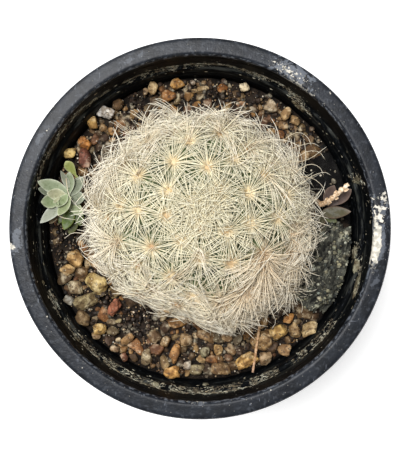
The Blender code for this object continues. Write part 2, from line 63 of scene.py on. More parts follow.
def paint(red, green, blue):
    # a screen colour, 0 to 255, as the linear colour that shaders take
    def linear(level):
        level = level / 255
        return level / 12.92 if level < 0.04045 else ((level + 0.055) / 1.055) ** 2.4
    return (linear(red), linear(green), linear(blue), 1)


def place(tree, kind, inputs=None, **options):
    # one node: options are its own settings, inputs are values or links for its sockets
    node = tree.nodes.new(kind)
    for option, value in options.items():
        setattr(node, option, value)
    for socket, value in (inputs or {}).items():
        if isinstance(value, bpy.types.NodeSocket):
            tree.links.new(value, node.inputs[socket])
        else:
            node.inputs[socket].default_value = value
    return node


def calculate(tree, operation, first, second):
    return place(tree, "ShaderNodeMath", {0: first, 1: second}, operation=operation).outputs[0]


def times(tree, first, second):
    return calculate(tree, "MULTIPLY", first, second)


def noiseCloud(tree, where, scale, detail, roughness=0.5):
    return place(tree, "ShaderNodeTexNoise", {
        "Vector": where, "Scale": scale, "Detail": detail, "Roughness": roughness,
    }).outputs["Fac"]


def blendColours(tree, mask, first, second, mode="MIX"):
    mix = place(tree, "ShaderNodeMix", {"Factor": mask}, data_type="RGBA", blend_type=mode)
    for socket, value in ((mix.inputs[6], first), (mix.inputs[7], second)):
        if isinstance(value, bpy.types.NodeSocket):
            tree.links.new(value, socket)
        else:
            socket.default_value = value
    return mix.outputs[2]


def rise(tree, value, low, high, bottom=0.0, top=1.0):
    # a smooth step from bottom to top while value goes from low to high
    return place(tree, "ShaderNodeMapRange", {
        "Value": value, "From Min": low, "From Max": high, "To Min": bottom, "To Max": top,
    }, interpolation_type="SMOOTHSTEP").outputs["Result"]


def newGroup(name, inputs, outputs):
    group = bpy.data.node_groups.new(name, "ShaderNodeTree")
    for label, kind, value in inputs:
        socket = group.interface.new_socket(label, in_out="INPUT", socket_type="NodeSocket" + kind)
        if value is not None:
            socket.default_value = value
    for label, kind in outputs:
        group.interface.new_socket(label, in_out="OUTPUT", socket_type="NodeSocket" + kind)
    entry = group.nodes.new("NodeGroupInput").outputs
    leave = group.nodes.new("NodeGroupOutput").inputs
    return group, entry, leave


def use(tree, group, inputs):
    return place(tree, "ShaderNodeGroup", inputs, node_tree=group).outputs


# effects that several materials share

def buildMottle():
    # soft blotches: 0 where the noise is under Low, 1 where it is over High
    group, entry, leave = newGroup("Mottle", [
        ("Vector", "Vector", None), ("Scale", "Float", 300), ("Detail", "Float", 3),
        ("Low", "Float", 0.4), ("High", "Float", 0.6),
    ], [("Mask", "Float")])
    cloud = noiseCloud(group, entry["Vector"], entry["Scale"], entry["Detail"])
    group.links.new(rise(group, cloud, entry["Low"], entry["High"]), leave["Mask"])
    return group


def buildGrain():
    # relief with a coarse and a fine part, for the Height of a Bump
    group, entry, leave = newGroup("Surface grain", [
        ("Vector", "Vector", None), ("Coarse scale", "Float", 400), ("Fine scale", "Float", 1800),
        ("Fine share", "Float", 0.4),
    ], [("Height", "Float")])
    coarse = noiseCloud(group, entry["Vector"], entry["Coarse scale"], 2)
    fine = noiseCloud(group, entry["Vector"], entry["Fine scale"], 2)
    small = times(group, fine, entry["Fine share"])
    group.links.new(calculate(group, "ADD", coarse, small), leave["Height"])
    return group


def buildFlecks():
    # scattered round dots, one in each cell, some of them left out
    group, entry, leave = newGroup("Flecks", [
        ("Vector", "Vector", None), ("Scale", "Float", 900), ("Size", "Float", 0.25),
        ("Amount", "Float", 0.5),
    ], [("Mask", "Float")])
    cells = place(group, "ShaderNodeTexVoronoi", {
        "Vector": entry["Vector"], "Scale": entry["Scale"],
    })
    edge = calculate(group, "ADD", entry["Size"], 0.12)
    dot = rise(group, cells.outputs["Distance"], entry["Size"], edge, 1, 0)
    tone = place(group, "ShaderNodeSeparateColor", {"Color": cells.outputs["Color"]})
    kept = calculate(group, "LESS_THAN", tone.outputs["Red"], entry["Amount"])
    group.links.new(times(group, dot, kept), leave["Mask"])
    return group


mottle = buildMottle()
grain = buildGrain()
flecks = buildFlecks()


def mottled(tree, where, scale, detail, low, high):
    return use(tree, mottle, {
        "Vector": where, "Scale": scale, "Detail": detail, "Low": low, "High": high,
    })["Mask"]


def flecked(tree, where, scale, size, amount):
    return use(tree, flecks, {"Vector": where, "Scale": scale, "Size": size, "Amount": amount})["Mask"]


def grained(tree, where, coarse, fine, share):
    return use(tree, grain, {
        "Vector": where, "Coarse scale": coarse, "Fine scale": fine, "Fine share": share,
    })["Height"]


def multiplied(tree, colour, factors):
    return blendColours(tree, 1.0, colour, factors, "MULTIPLY")


def newMaterial(name, **surface):
    # a Principled material; surface holds the values that are the same all over
    material = bpy.data.materials.new(name)
    material.use_nodes = True
    tree = material.node_tree
    shader = tree.nodes["Principled BSDF"]
    for socket, value in surface.items():
        shader.inputs[socket.replace("_", " ")].default_value = value
    where = tree.nodes.new("ShaderNodeTexCoord").outputs["Object"]
    return material, tree, shader, where


def finishSurface(tree, shader, colour, roughness, height=None, strength=0, depth=0):
    tree.links.new(colour, shader.inputs["Base Color"])
    tree.links.new(roughness, shader.inputs["Roughness"])
    if height is not None:
        bump = place(tree, "ShaderNodeBump", {
            "Height": height, "Strength": strength, "Distance": depth,
        })
        tree.links.new(bump.outputs["Normal"], shader.inputs["Normal"])


def vertexTint(tree):
    return place(tree, "ShaderNodeVertexColor", layer_name="tint").outputs["Color"]


# small helpers for meshes

def meshPiece(name, points, faces, material, tints=None):
    # points in millimetres; tints are one linear colour for each point
    mesh = bpy.data.meshes.new(name)
    mesh.from_pydata((np.asarray(points) * mm).tolist(), [], faces)
    if tints is not None:
        layer = mesh.color_attributes.new("tint", "FLOAT_COLOR", "POINT")
        colours = np.ones((len(points), 4))
        colours[:, :3] = np.asarray(tints)[:, :3]
        layer.data.foreach_set("color", colours.ravel())
    mesh.polygons.foreach_set("use_smooth", [True] * len(mesh.polygons))
    mesh.materials.append(material)
    piece = bpy.data.objects.new(name, mesh)
    bpy.context.collection.objects.link(piece)
    return piece


def dress(piece, slotName, *standsFor):
    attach(piece, "root")
    if standsFor:
        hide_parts(*standsFor)


def unitBall(level):
    ball = bmesh.new()
    bmesh.ops.create_icosphere(ball, subdivisions=level, radius=1)
    ball.verts.ensure_lookup_table()
    points = np.array([vertex.co[:] for vertex in ball.verts])
    faces = np.array([[vertex.index for vertex in face.verts] for face in ball.faces])
    ball.free()
    return points / np.linalg.norm(points, axis=1)[:, None], faces


balls = {level: unitBall(level) for level in (1, 2, 3, 4)}


def roughness3d(points, size, seed):
    # smooth noise from about -1 to 1 at each point, with bumps of that size
    shift = Vector((seed * 7.31, seed * 3.17, seed * 5.71))
    return np.array([noise.noise(Vector(p) / size + shift) for p in np.asarray(points).tolist()])


def unit(vectors):
    return vectors / np.linalg.norm(vectors, axis=-1, keepdims=True)


def linearRows(colours):
    return np.array([paint(*colour)[:3] for colour in colours])


def stonePoints(directions, rng, faces, sharpness):
    # a ball cut by soft planes: few planes give a blocky stone, many a round one
    normals = np.concatenate((unit(rng.normal(size=(faces, 3))), np.eye(3), -np.eye(3)))
    depths = np.concatenate((rng.uniform(0.72, 1.0, faces), np.full(6, 1.0)))
    reach = np.clip(directions @ normals.T, 0, None) / depths
    return directions * ((reach ** sharpness).sum(1) ** (-1 / sharpness))[:, None]


def joinStones(name, stones, material):
    points, faces, tints, start = [], [], [], 0
    for stonePart, stoneFaces, colour in stones:
        points.append(stonePart)
        faces.append(stoneFaces + start)
        tints.append(np.tile(colour[:3], (len(stonePart), 1)))
        start += len(stonePart)
    faces = np.concatenate(faces).tolist()
    return meshPiece(name, np.concatenate(points), faces, material, np.concatenate(tints))


def tubeFaces(rings, sides):
    # the side and both ends of a tube made of rings of points
    faces = []
    for ring in range(rings - 1):
        low, high = ring * sides, (ring + 1) * sides
        for part in range(sides):
            after = (part + 1) % sides
            faces.append([low + part, low + after, high + after, high + part])
    faces.append(list(range(sides))[::-1])
    faces.append(list(range((rings - 1) * sides, rings * sides)))
    return faces


def joinParts(parts):
    # several lots of (points, faces, tints) as one
    points, faces, tints = [], [], []
    for morePoints, moreFaces, moreTints in parts:
        start = len(points)
        points += morePoints
        faces += [[corner + start for corner in face] for face in moreFaces]
        tints += moreTints
    return points, faces, tints


# pot: turned black plastic with deposits on the rim and the ledge, and a painted reflection of the sky on
# the right of the rim

potShape = {
    "steps": 216,
    "cornerSize": 0.7,        # mm, rounding of the profile's corners
    "wall": 1.2,
    "floorTop": 3.4,
    "ledgeFoot": 77.9,
    "ledge": 79.0,
    "collarRadius": 47.1,     # inside, above the ledge
    "footRadius": 36.0,       # of the wall inside, at the floor
    "ledgeRadius": 46.0,
    "rimInner": 47.5,
    "rimOuter": 52.5,
    "rimCrown": 1.4,
    "height": 90.0,
    "nicks": 0.22,            # damage along the inner edge of the rim
    "nickedEdge": (47.7, 88.8),  # its radius and height
    "skirt": (51.5, 84.2),    # radius and height beyond which the outside is part of the rim
    "rimFrom": 88.2,
    "drainHole": 2.5,
    "drainRing": 22.0,
    "drainHoles": 6,
}


def wallRadius(z):
    # inner radius of the tapered wall at a height
    share = (z - potShape["floorTop"]) / (potShape["ledge"] - potShape["floorTop"])
    return potShape["footRadius"] + (potShape["ledgeRadius"] - potShape["footRadius"]) * share


def rimCurve():
    # the crown of the rim, from its inner edge to its outer edge
    half = (potShape["rimOuter"] - potShape["rimInner"]) / 2
    points = []
    for step in range(15):
        along = step / 14
        across = -math.cos(math.pi * along)
        bulge = (1 - abs(across) ** 7) ** 0.6
        z = potShape["height"] + potShape["rimCrown"] * (bulge - 1) - 0.08 * along
        points.append((potShape["rimInner"] + half * (1 + across), z))
    return points


def softCorners(profile, size):
    # each corner of the profile becomes a short curve
    softened = [profile[0]]
    for before, corner, after in zip(profile, profile[1:], profile[2:]):
        before, corner, after = Vector(before), Vector(corner), Vector(after)
        back = before - corner
        ahead = after - corner
        cut = min(size, back.length * 0.4, ahead.length * 0.4)
        first = corner + back.normalized() * cut
        last = corner + ahead.normalized() * cut
        for share in (0, 0.5, 1):
            curve = first * (1 - share) ** 2 + corner * 2 * share * (1 - share) + last * share ** 2
            softened.append(tuple(curve))
    softened.append(profile[-1])
    return softened


def potProfile():
    # from the middle of the floor up the inside, over the rim and down the outside
    inside = [(0, 3.4), (35, 3.4)] + [(wallRadius(z), z) for z in (4.4, 40, 72.6)]
    inside += [(wallRadius(73.2) - 0.3, 73.2), (wallRadius(74.2), 74.2), (wallRadius(77.9), 77.9)]
    inside += [(46.6, 78.5), (47.1, 79.0), (47.25, 84)]
    skirt = [(52.5, 84.4), (51.3, 84.4), (51.3, 88.0), (48.7, 88.0), (48.3, 78.8)]
    outside = [(wallRadius(z) + potShape["wall"], z) for z in (77.2, 60, 30)]
    foot = [(37.3, 3.0), (36.9, 2.2), (36.4, 0), (33, 0), (32.4, 1.8), (0, 1.8)]
    return softCorners(inside + rimCurve() + skirt + outside + foot, potShape["cornerSize"])


def turned(profile, steps):
    # points and faces of a profile turned round the pot's axis, closed at both ends
    points, faces, rings = [], [], []
    for radius, z in profile:
        if radius < 0.01:
            rings.append([len(points)] * steps)
            points.append((0, 0, z))
            continue
        rings.append(list(range(len(points), len(points) + steps)))
        for step in range(steps):
            angle = 2 * math.pi * step / steps
            points.append((radius * math.cos(angle), radius * math.sin(angle), z))
    for lower, upper in zip(rings, rings[1:]):
        for step in range(steps):
            after = (step + 1) % steps
            corners = [lower[step], upper[step], upper[after], lower[after]]
            faces.append(list(dict.fromkeys(corners)))
    return np.array(points), faces


def nickRim(points):
    # small chips along the inner edge of the rim
    radius = np.hypot(points[:, 0], points[:, 1])
    edgeRadius, edgeHeight = potShape["nickedEdge"]
    near = np.exp(-((radius - edgeRadius) / 0.5) ** 2) * np.exp(-((points[:, 2] - edgeHeight) / 0.7) ** 2)
    chips = np.clip(roughness3d(points, 1.6, 3), 0, None) ** 1.5
    out = potShape["nicks"] * near * chips * 2.2
    points[:, :2] += points[:, :2] * (out / np.maximum(radius, 1))[:, None]
    return points


def drillHoles(pot):
    # drain holes in the floor of the pot
    ring = potShape["drainRing"] * mm
    for index in range(potShape["drainHoles"]):
        angle = math.tau * index / potShape["drainHoles"]
        bpy.ops.mesh.primitive_cylinder_add(vertices=32, radius=potShape["drainHole"] * mm, depth=8 * mm)
        drill = bpy.context.object
        drill.location = (ring * math.cos(angle), ring * math.sin(angle), 3 * mm)
        cut = pot.modifiers.new("drain", "BOOLEAN")
        cut.object = drill
        bpy.context.view_layer.objects.active = pot
        bpy.ops.object.modifier_apply(modifier="drain")
        bpy.data.objects.remove(drill)


def buildRimPatch():
    # a ragged patch on the rim, full in its middle and breaking up into islands at its margin
    group, entry, leave = newGroup("Rim patch", [
        ("Vector", "Vector", None), ("Turn", "Float", 0), ("Radius", "Float", 50), ("Middle", "Float", 0),
        ("Half length", "Float", 0.01), ("Centre", "Float", 50), ("Half width", "Float", 1),
        ("Fullness", "Float", 1), ("Raggedness", "Float", 4), ("Grain scale", "Float", 900),
    ], [("Mask", "Float")])
    away = calculate(group, "SUBTRACT", entry["Turn"], entry["Middle"])
    away = place(group, "ShaderNodeMath", {0: away, 1: 0.5, 2: -0.5}, operation="WRAP").outputs[0]
    along = calculate(group, "DIVIDE", away, entry["Half length"])
    across = calculate(group, "SUBTRACT", entry["Radius"], entry["Centre"])
    across = calculate(group, "DIVIDE", across, entry["Half width"])
    distance = place(group, "ShaderNodeVectorMath", {
        0: place(group, "ShaderNodeCombineXYZ", {"X": along, "Y": across}).outputs[0],
    }, operation="LENGTH").outputs["Value"]
    cloud = noiseCloud(group, entry["Vector"], entry["Grain scale"], 6, 0.62)
    uneven = times(group, calculate(group, "SUBTRACT", cloud, 0.5), entry["Raggedness"])
    fill = calculate(group, "SUBTRACT", entry["Fullness"], distance)
    group.links.new(rise(group, calculate(group, "ADD", fill, uneven), 0, 0.3), leave["Mask"])
    return group


def buildBandWindow():
    # 1 while Value lies between Low and High
    group, entry, leave = newGroup("Band window", [
        ("Value", "Float", 0), ("Low", "Float", 0), ("High", "Float", 1), ("Softness", "Float", 0.1),
    ], [("Mask", "Float")])
    under = calculate(group, "SUBTRACT", entry["Low"], entry["Softness"])
    over = calculate(group, "ADD", entry["High"], entry["Softness"])
    rising = rise(group, entry["Value"], under, entry["Low"])
    falling = rise(group, entry["Value"], entry["High"], over, 1, 0)
    group.links.new(times(group, rising, falling), leave["Mask"])
    return group


rimPatch = buildRimPatch()
bandWindow = buildBandWindow()


def inBand(tree, value, low, high, softness):
    return use(tree, bandWindow, {"Value": value, "Low": low, "High": high, "Softness": softness})["Mask"]


potSkin = {
    "rimColours": (paint(15, 18, 23), paint(29, 33, 40)),
    "wallColour": paint(14, 15, 17),
    # clean black plastic inside, darkened further than the outside as painted shade inside the pot
    "insideColour": paint(6, 8, 10),
    # crustColour also colours the painted reflection of the sky on the right of the rim
    "crustColour": paint(228, 221, 207),
    "hazeColour": paint(130, 136, 146),
    "ledgeColour": paint(98, 100, 94),
    # crusts and hazes, some of them partly painted sheen: middle in degrees, half length and half width in
    # mm, radius, fullness, raggedness, grain scale, strength
    "crustsAndSheen": (
        # these three, round 0° on the right of the rim, are partly lime crust and partly a painted
        # reflection of the sky
        (-5.0, 6.2, 1.25, 48.4, 1.15, 2.4, 600, 0.88),
        (4.8, 3.4, 1.5, 49.2, 0.62, 7.0, 800, 0.85),
        (9.4, 2.0, 1.3, 50.9, 0.55, 6.0, 900, 0.8),
        (61.0, 5.2, 1.2, 49.5, 0.42, 8.0, 1500, 0.8),
        (55.5, 5.6, 0.6, 47.75, 0.5, 6.0, 1100, 0.5),
        (185.6, 1.3, 1.5, 52.0, 0.75, 4.0, 900, 0.8),
        (268.8, 2.6, 0.6, 47.5, 0.6, 5.0, 1000, 0.55),
    ),
    "hazesAndSheen": (
        # these three, round 0° on the right of the rim, are partly haze and partly a painted reflection of
        # the sky
        (-5.0, 7.8, 2.6, 49.0, 0.85, 2.0, 700, 0.34),
        (-3.0, 5.0, 1.6, 49.6, 0.8, 3.0, 900, 0.4),
        (6.5, 5.0, 2.6, 50.0, 0.55, 5.0, 500, 0.35),
        (59.0, 8.5, 3.0, 50.0, 0.7, 5.0, 600, 0.4),
        (184.0, 4.5, 2.6, 50.4, 0.6, 4.0, 420, 0.34),
        (270.0, 3.4, 1.0, 48.0, 0.5, 5.0, 500, 0.25),
        (344.0, 3.0, 1.6, 50.0, 0.5, 5.0, 500, 0.2),
        (112.0, 9.0, 1.8, 49.8, 0.4, 4.0, 300, 0.18),
        (151.0, 6.0, 2.0, 50.2, 0.4, 4.0, 300, 0.2),
    ),
}


def potCoordinates(tree, where):
    # turn from -0.5 to 0.5 round the pot's axis, radius and height in mm
    axes = place(tree, "ShaderNodeSeparateXYZ", {0: where}).outputs
    flat = place(tree, "ShaderNodeCombineXYZ", {"X": axes["X"], "Y": axes["Y"]}).outputs[0]
    length = place(tree, "ShaderNodeVectorMath", {0: flat}, operation="LENGTH").outputs["Value"]
    turn = calculate(tree, "DIVIDE", calculate(tree, "ARCTAN2", axes["Y"], axes["X"]), math.tau)
    return turn, times(tree, length, 1000), times(tree, axes["Z"], 1000)


def rimPatchesOf(tree, rows, where, turn, radius):
    # the strongest of several patches: real deposits, and painted sheen on the right of the rim
    total = None
    for middle, halfLength, halfWidth, centre, fullness, ragged, scale, strength in rows:
        patch = use(tree, rimPatch, {
            "Vector": where, "Turn": turn, "Radius": radius, "Middle": middle / 360,
            "Half length": halfLength / (math.tau * centre), "Centre": centre, "Half width": halfWidth,
            "Fullness": fullness, "Raggedness": ragged, "Grain scale": scale,
        })
        patch = times(tree, patch["Mask"], strength)
        total = patch if total is None else calculate(tree, "MAXIMUM", total, patch)
    return total


def rimMaterial():
    material, tree, shader, where = newMaterial("pot_rim_weathered_with_sheen", Specular_IOR_Level=0.2)
    turn, radius, _ = potCoordinates(tree, where)
    clouds = mottled(tree, where, 190, 9, 0.32, 0.68)
    colour = blendColours(tree, clouds, *potSkin["rimColours"])

    # dull patches, then thin scratches that run every way
    dull = mottled(tree, where, 700, 8, 0.5, 0.8)
    colour = blendColours(tree, times(tree, dull, 0.16), colour, potSkin["hazeColour"])
    for step, stretch in enumerate(((1, 0.12, 1), (0.12, 1, 1), (0.7, 0.2, 1))):
        stretched = place(tree, "ShaderNodeMapping", {
            "Vector": where, "Rotation": (0, 0, 0.5 * step), "Scale": stretch,
        }).outputs[0]
        lines = mottled(tree, stretched, 1900, 2, 0.7, 0.76)
        colour = blendColours(tree, times(tree, lines, 0.35), colour, potSkin["hazeColour"])

    # worn inner edge
    edge = inBand(tree, radius, 47.4, 47.75, 0.2)
    worn = mottled(tree, where, 900, 6, 0.47, 0.6)
    edge = times(tree, times(tree, edge, worn), 0.45)
    colour = blendColours(tree, edge, colour, potSkin["hazeColour"])

    # haze, then crusts with holes and dark stains; on the right, round 0°, both are partly lime and partly a
    # painted reflection of the sky
    hazeAndSheen = rimPatchesOf(tree, potSkin["hazesAndSheen"], where, turn, radius)
    colour = blendColours(tree, hazeAndSheen, colour, potSkin["hazeColour"])
    crustAndSheen = rimPatchesOf(tree, potSkin["crustsAndSheen"], where, turn, radius)
    holes = flecked(tree, where, 460, 0.2, 0.28)
    crustAndSheen = times(tree, crustAndSheen, rise(tree, holes, 0, 1, 1, 0.3))
    stains = mottled(tree, where, 800, 5, 0.42, 0.62)
    crustAndSheenTone = blendColours(tree, stains, paint(176, 172, 160), potSkin["crustColour"])
    colour = blendColours(tree, crustAndSheen, colour, crustAndSheenTone)

    # white specks all over, small and very small
    small = flecked(tree, where, 620, 0.06, 0.12)
    tiny = flecked(tree, where, 1500, 0.1, 0.1)
    specks = calculate(tree, "MAXIMUM", small, times(tree, tiny, 0.45))
    colour = blendColours(tree, times(tree, specks, 0.6), colour, potSkin["crustColour"])

    marks = calculate(tree, "MAXIMUM", crustAndSheen, times(tree, specks, 0.5))
    rough = rise(tree, marks, 0, 1, 0.42, 0.85)
    relief = grained(tree, where, 420, 1900, 0.6)
    relief = calculate(tree, "ADD", relief, times(tree, marks, 1.5))
    finishSurface(tree, shader, colour, rough, relief, 0.4, 0.0002)
    return material


def insideMaterial():
    material, tree, shader, where = newMaterial("pot_inside_plastic", Specular_IOR_Level=0.07)
    turn, radius, height = potCoordinates(tree, where)
    around = place(tree, "ShaderNodeCombineXYZ", {
        "X": times(tree, turn, 60), "Y": radius, "Z": height,
    }).outputs[0]

    # a thin film of lime and dirt where the water stood
    film = inBand(tree, height, 76.0, 81.0, 3.0)
    streaks = mottled(tree, around, 0.9, 9, 0.5, 0.7)
    lime = times(tree, times(tree, film, streaks), 0.3)
    colour = blendColours(tree, lime, potSkin["insideColour"], potSkin["ledgeColour"])

    # fine scratches round the wall, and specks
    scratches = times(tree, mottled(tree, around, 3, 3, 0.62, 0.7), 0.14)
    colour = blendColours(tree, scratches, colour, potSkin["hazeColour"])
    specks = flecked(tree, where, 900, 0.08, 0.05)
    colour = blendColours(tree, times(tree, specks, 0.45), colour, potSkin["crustColour"])
    rough = rise(tree, calculate(tree, "MAXIMUM", lime, streaks), 0, 1, 0.5, 0.75)
    finishSurface(tree, shader, colour, rough)
    return material


def outsideMaterial():
    material, tree, shader, where = newMaterial("pot_outside_plastic", Specular_IOR_Level=0.35)
    dust = mottled(tree, where, 90, 9, 0.4, 0.7)
    colour = blendColours(tree, times(tree, dust, 0.1), potSkin["wallColour"], potSkin["hazeColour"])
    specks = flecked(tree, where, 700, 0.08, 0.06)
    colour = blendColours(tree, times(tree, specks, 0.4), colour, potSkin["crustColour"])
    relief = grained(tree, where, 260, 1500, 0.5)
    finishSurface(tree, shader, colour, rise(tree, dust, 0, 1, 0.45, 0.7), relief, 0.3, 0.0002)
    return material


def makePot():
    points, faces = turned(potProfile(), potShape["steps"])
    pot = meshPiece("potShell", nickRim(points), faces, outsideMaterial())
    pot.data.materials.append(insideMaterial())
    pot.data.materials.append(rimMaterial())
    skirtRadius, skirtFoot = potShape["skirt"]
    for face in pot.data.polygons:
        across = math.hypot(face.center.x, face.center.y) / mm
        z = face.center.z / mm
        onRim = z > potShape["rimFrom"] or (z > skirtFoot and across > skirtRadius)
        inside = z > 3.2 and across < wallInside(min(z, 88)) + 0.35
        face.material_index = 2 if onRim else 1 if inside else 0
    drillHoles(pot)
    dress(pot, "pot_plastic", "pot")
    print("pot:", len(pot.data.polygons), "faces")


# lime scale: flat crumbs on the wall inside the pot, along an old water line

limeScale = {
    # angle in degrees, height in mm of the water line
    "line": (
        (4, 86), (15, 86), (19, 78), (44, 76.4), (52, 78.4), (62, 80.1), (70, 78.9), (80, 80.2), (90, 79.3),
        (103, 78.9), (112, 79.3), (120, 79.4), (128, 81.3), (135, 83.7), (145, 84.8), (150, 83.9),
        (160, 84.8), (170, 82.5), (205, 78.9), (215, 79.1), (235, 78.8), (245, 78.7), (252, 79.2),
        (262, 78.9), (267, 79.1), (275, 79.1), (285, 78.9), (292, 78.6), (298, 78.2), (308, 77.8),
        (318, 79.1), (324, 78.8), (338, 84.8), (345, 80), (352, 76.6), (360, 76.4),
    ),
    # from, to in degrees, crumbs, how far they stray up and down in mm
    "stretches": (
        (15, 20, 90, 1.8), (44, 62, 380, 0.6), (62, 97, 1100, 0.5), (97, 136, 1000, 0.5),
        (136, 166, 760, 0.9), (202, 235, 700, 0.5), (235, 264, 700, 0.7), (264, 299, 1200, 0.8),
        (305, 326, 420, 0.7), (335, 355, 200, 0.9), (0, 360, 420, 3.2),
    ),
    "heights": (73.5, 87.6),
    "size": (0.08, 0.32),
    "colours": ((128, 126, 110), (152, 149, 132), (104, 102, 88), (186, 182, 164)),
    # flat flakes: angle, height, half length and half height in mm
    "flakes": (
        (351.2, 75.0, 1.7, 2.3), (346.5, 78.0, 1.9, 0.9), (340.9, 81.6, 2.3, 2.0), (337.0, 83.5, 1.2, 1.1),
        (17.0, 80.0, 1.0, 1.8), (50.5, 75.6, 1.5, 1.4), (53.0, 76.4, 0.9, 0.9), (222.0, 80.5, 0.9, 1.0),
        (199.0, 81.0, 0.6, 0.9), (251.5, 80.0, 0.7, 0.9), (254.0, 78.6, 1.1, 0.5), (272.0, 75.0, 0.8, 1.2),
    ),
    "flakeColour": (134, 130, 108),
    "seed": 12,
}


def wallInside(z):
    # radius of the pot's inner wall at a height, ledge included
    foot, ledge, collar = potShape["ledgeFoot"], potShape["ledge"], potShape["collarRadius"]
    if z < foot:
        return wallRadius(z)
    if z < ledge:
        return wallRadius(foot) + (collar - wallRadius(foot)) * (z - foot) / (ledge - foot)
    return collar + 0.03 * (z - ledge)


def makeLime():
    rng = np.random.default_rng(limeScale["seed"])
    angles, heights = zip(*limeScale["line"])
    lowest, highest = limeScale["heights"]
    smallest, largest = limeScale["size"]
    stones = []
    for low, high, count, stray in limeScale["stretches"]:
        for _ in range(count):
            angle = rng.uniform(low, high)
            z = float(np.interp(angle, angles, heights)) + rng.normal(0, stray)
            z = min(max(z, lowest), highest)
            if noise.noise(Vector((angle / 3.4, z / 1.5, 3.3))) < -0.3:
                continue
            size = smallest + (largest - smallest) * rng.random() ** 2
            directions, faces = balls[1]
            shape = stonePoints(directions, rng, 8, 9) * (size * 0.4, size * rng.uniform(1, 2.4), size)
            turn = np.array(Matrix.Rotation(math.radians(angle), 3, "Z"))
            shape = (shape + (wallInside(z) - size * 0.1, 0, z)) @ turn.T
            stones.append((shape, faces, nearColour(rng, limeScale["colours"][rng.integers(4)], 0.12)))
    directions, faces = balls[4]
    for angle, middle, halfLength, halfHeight in limeScale["flakes"]:
        ragged = 1 + 0.5 * roughness3d(directions, 0.5, angle)
        ragged += 0.3 * roughness3d(directions, 0.2, angle + 3)
        shape = directions * ragged[:, None]
        z = middle + shape[:, 2] * halfHeight
        radius = np.array([wallInside(level) for level in z]) - 0.1 + shape[:, 0] * 0.22
        turn = math.radians(angle) + shape[:, 1] * halfLength / 46
        flake = np.stack((radius * np.cos(turn), radius * np.sin(turn), z), 1)
        stones.append((flake, faces, nearColour(rng, limeScale["flakeColour"], 0.1)))
    dress(joinStones("limeScale", stones, pebbleMaterial("lime_scale")), "gravel")
    print("lime scale:", len(stones), "crumbs")


# soil and gravel

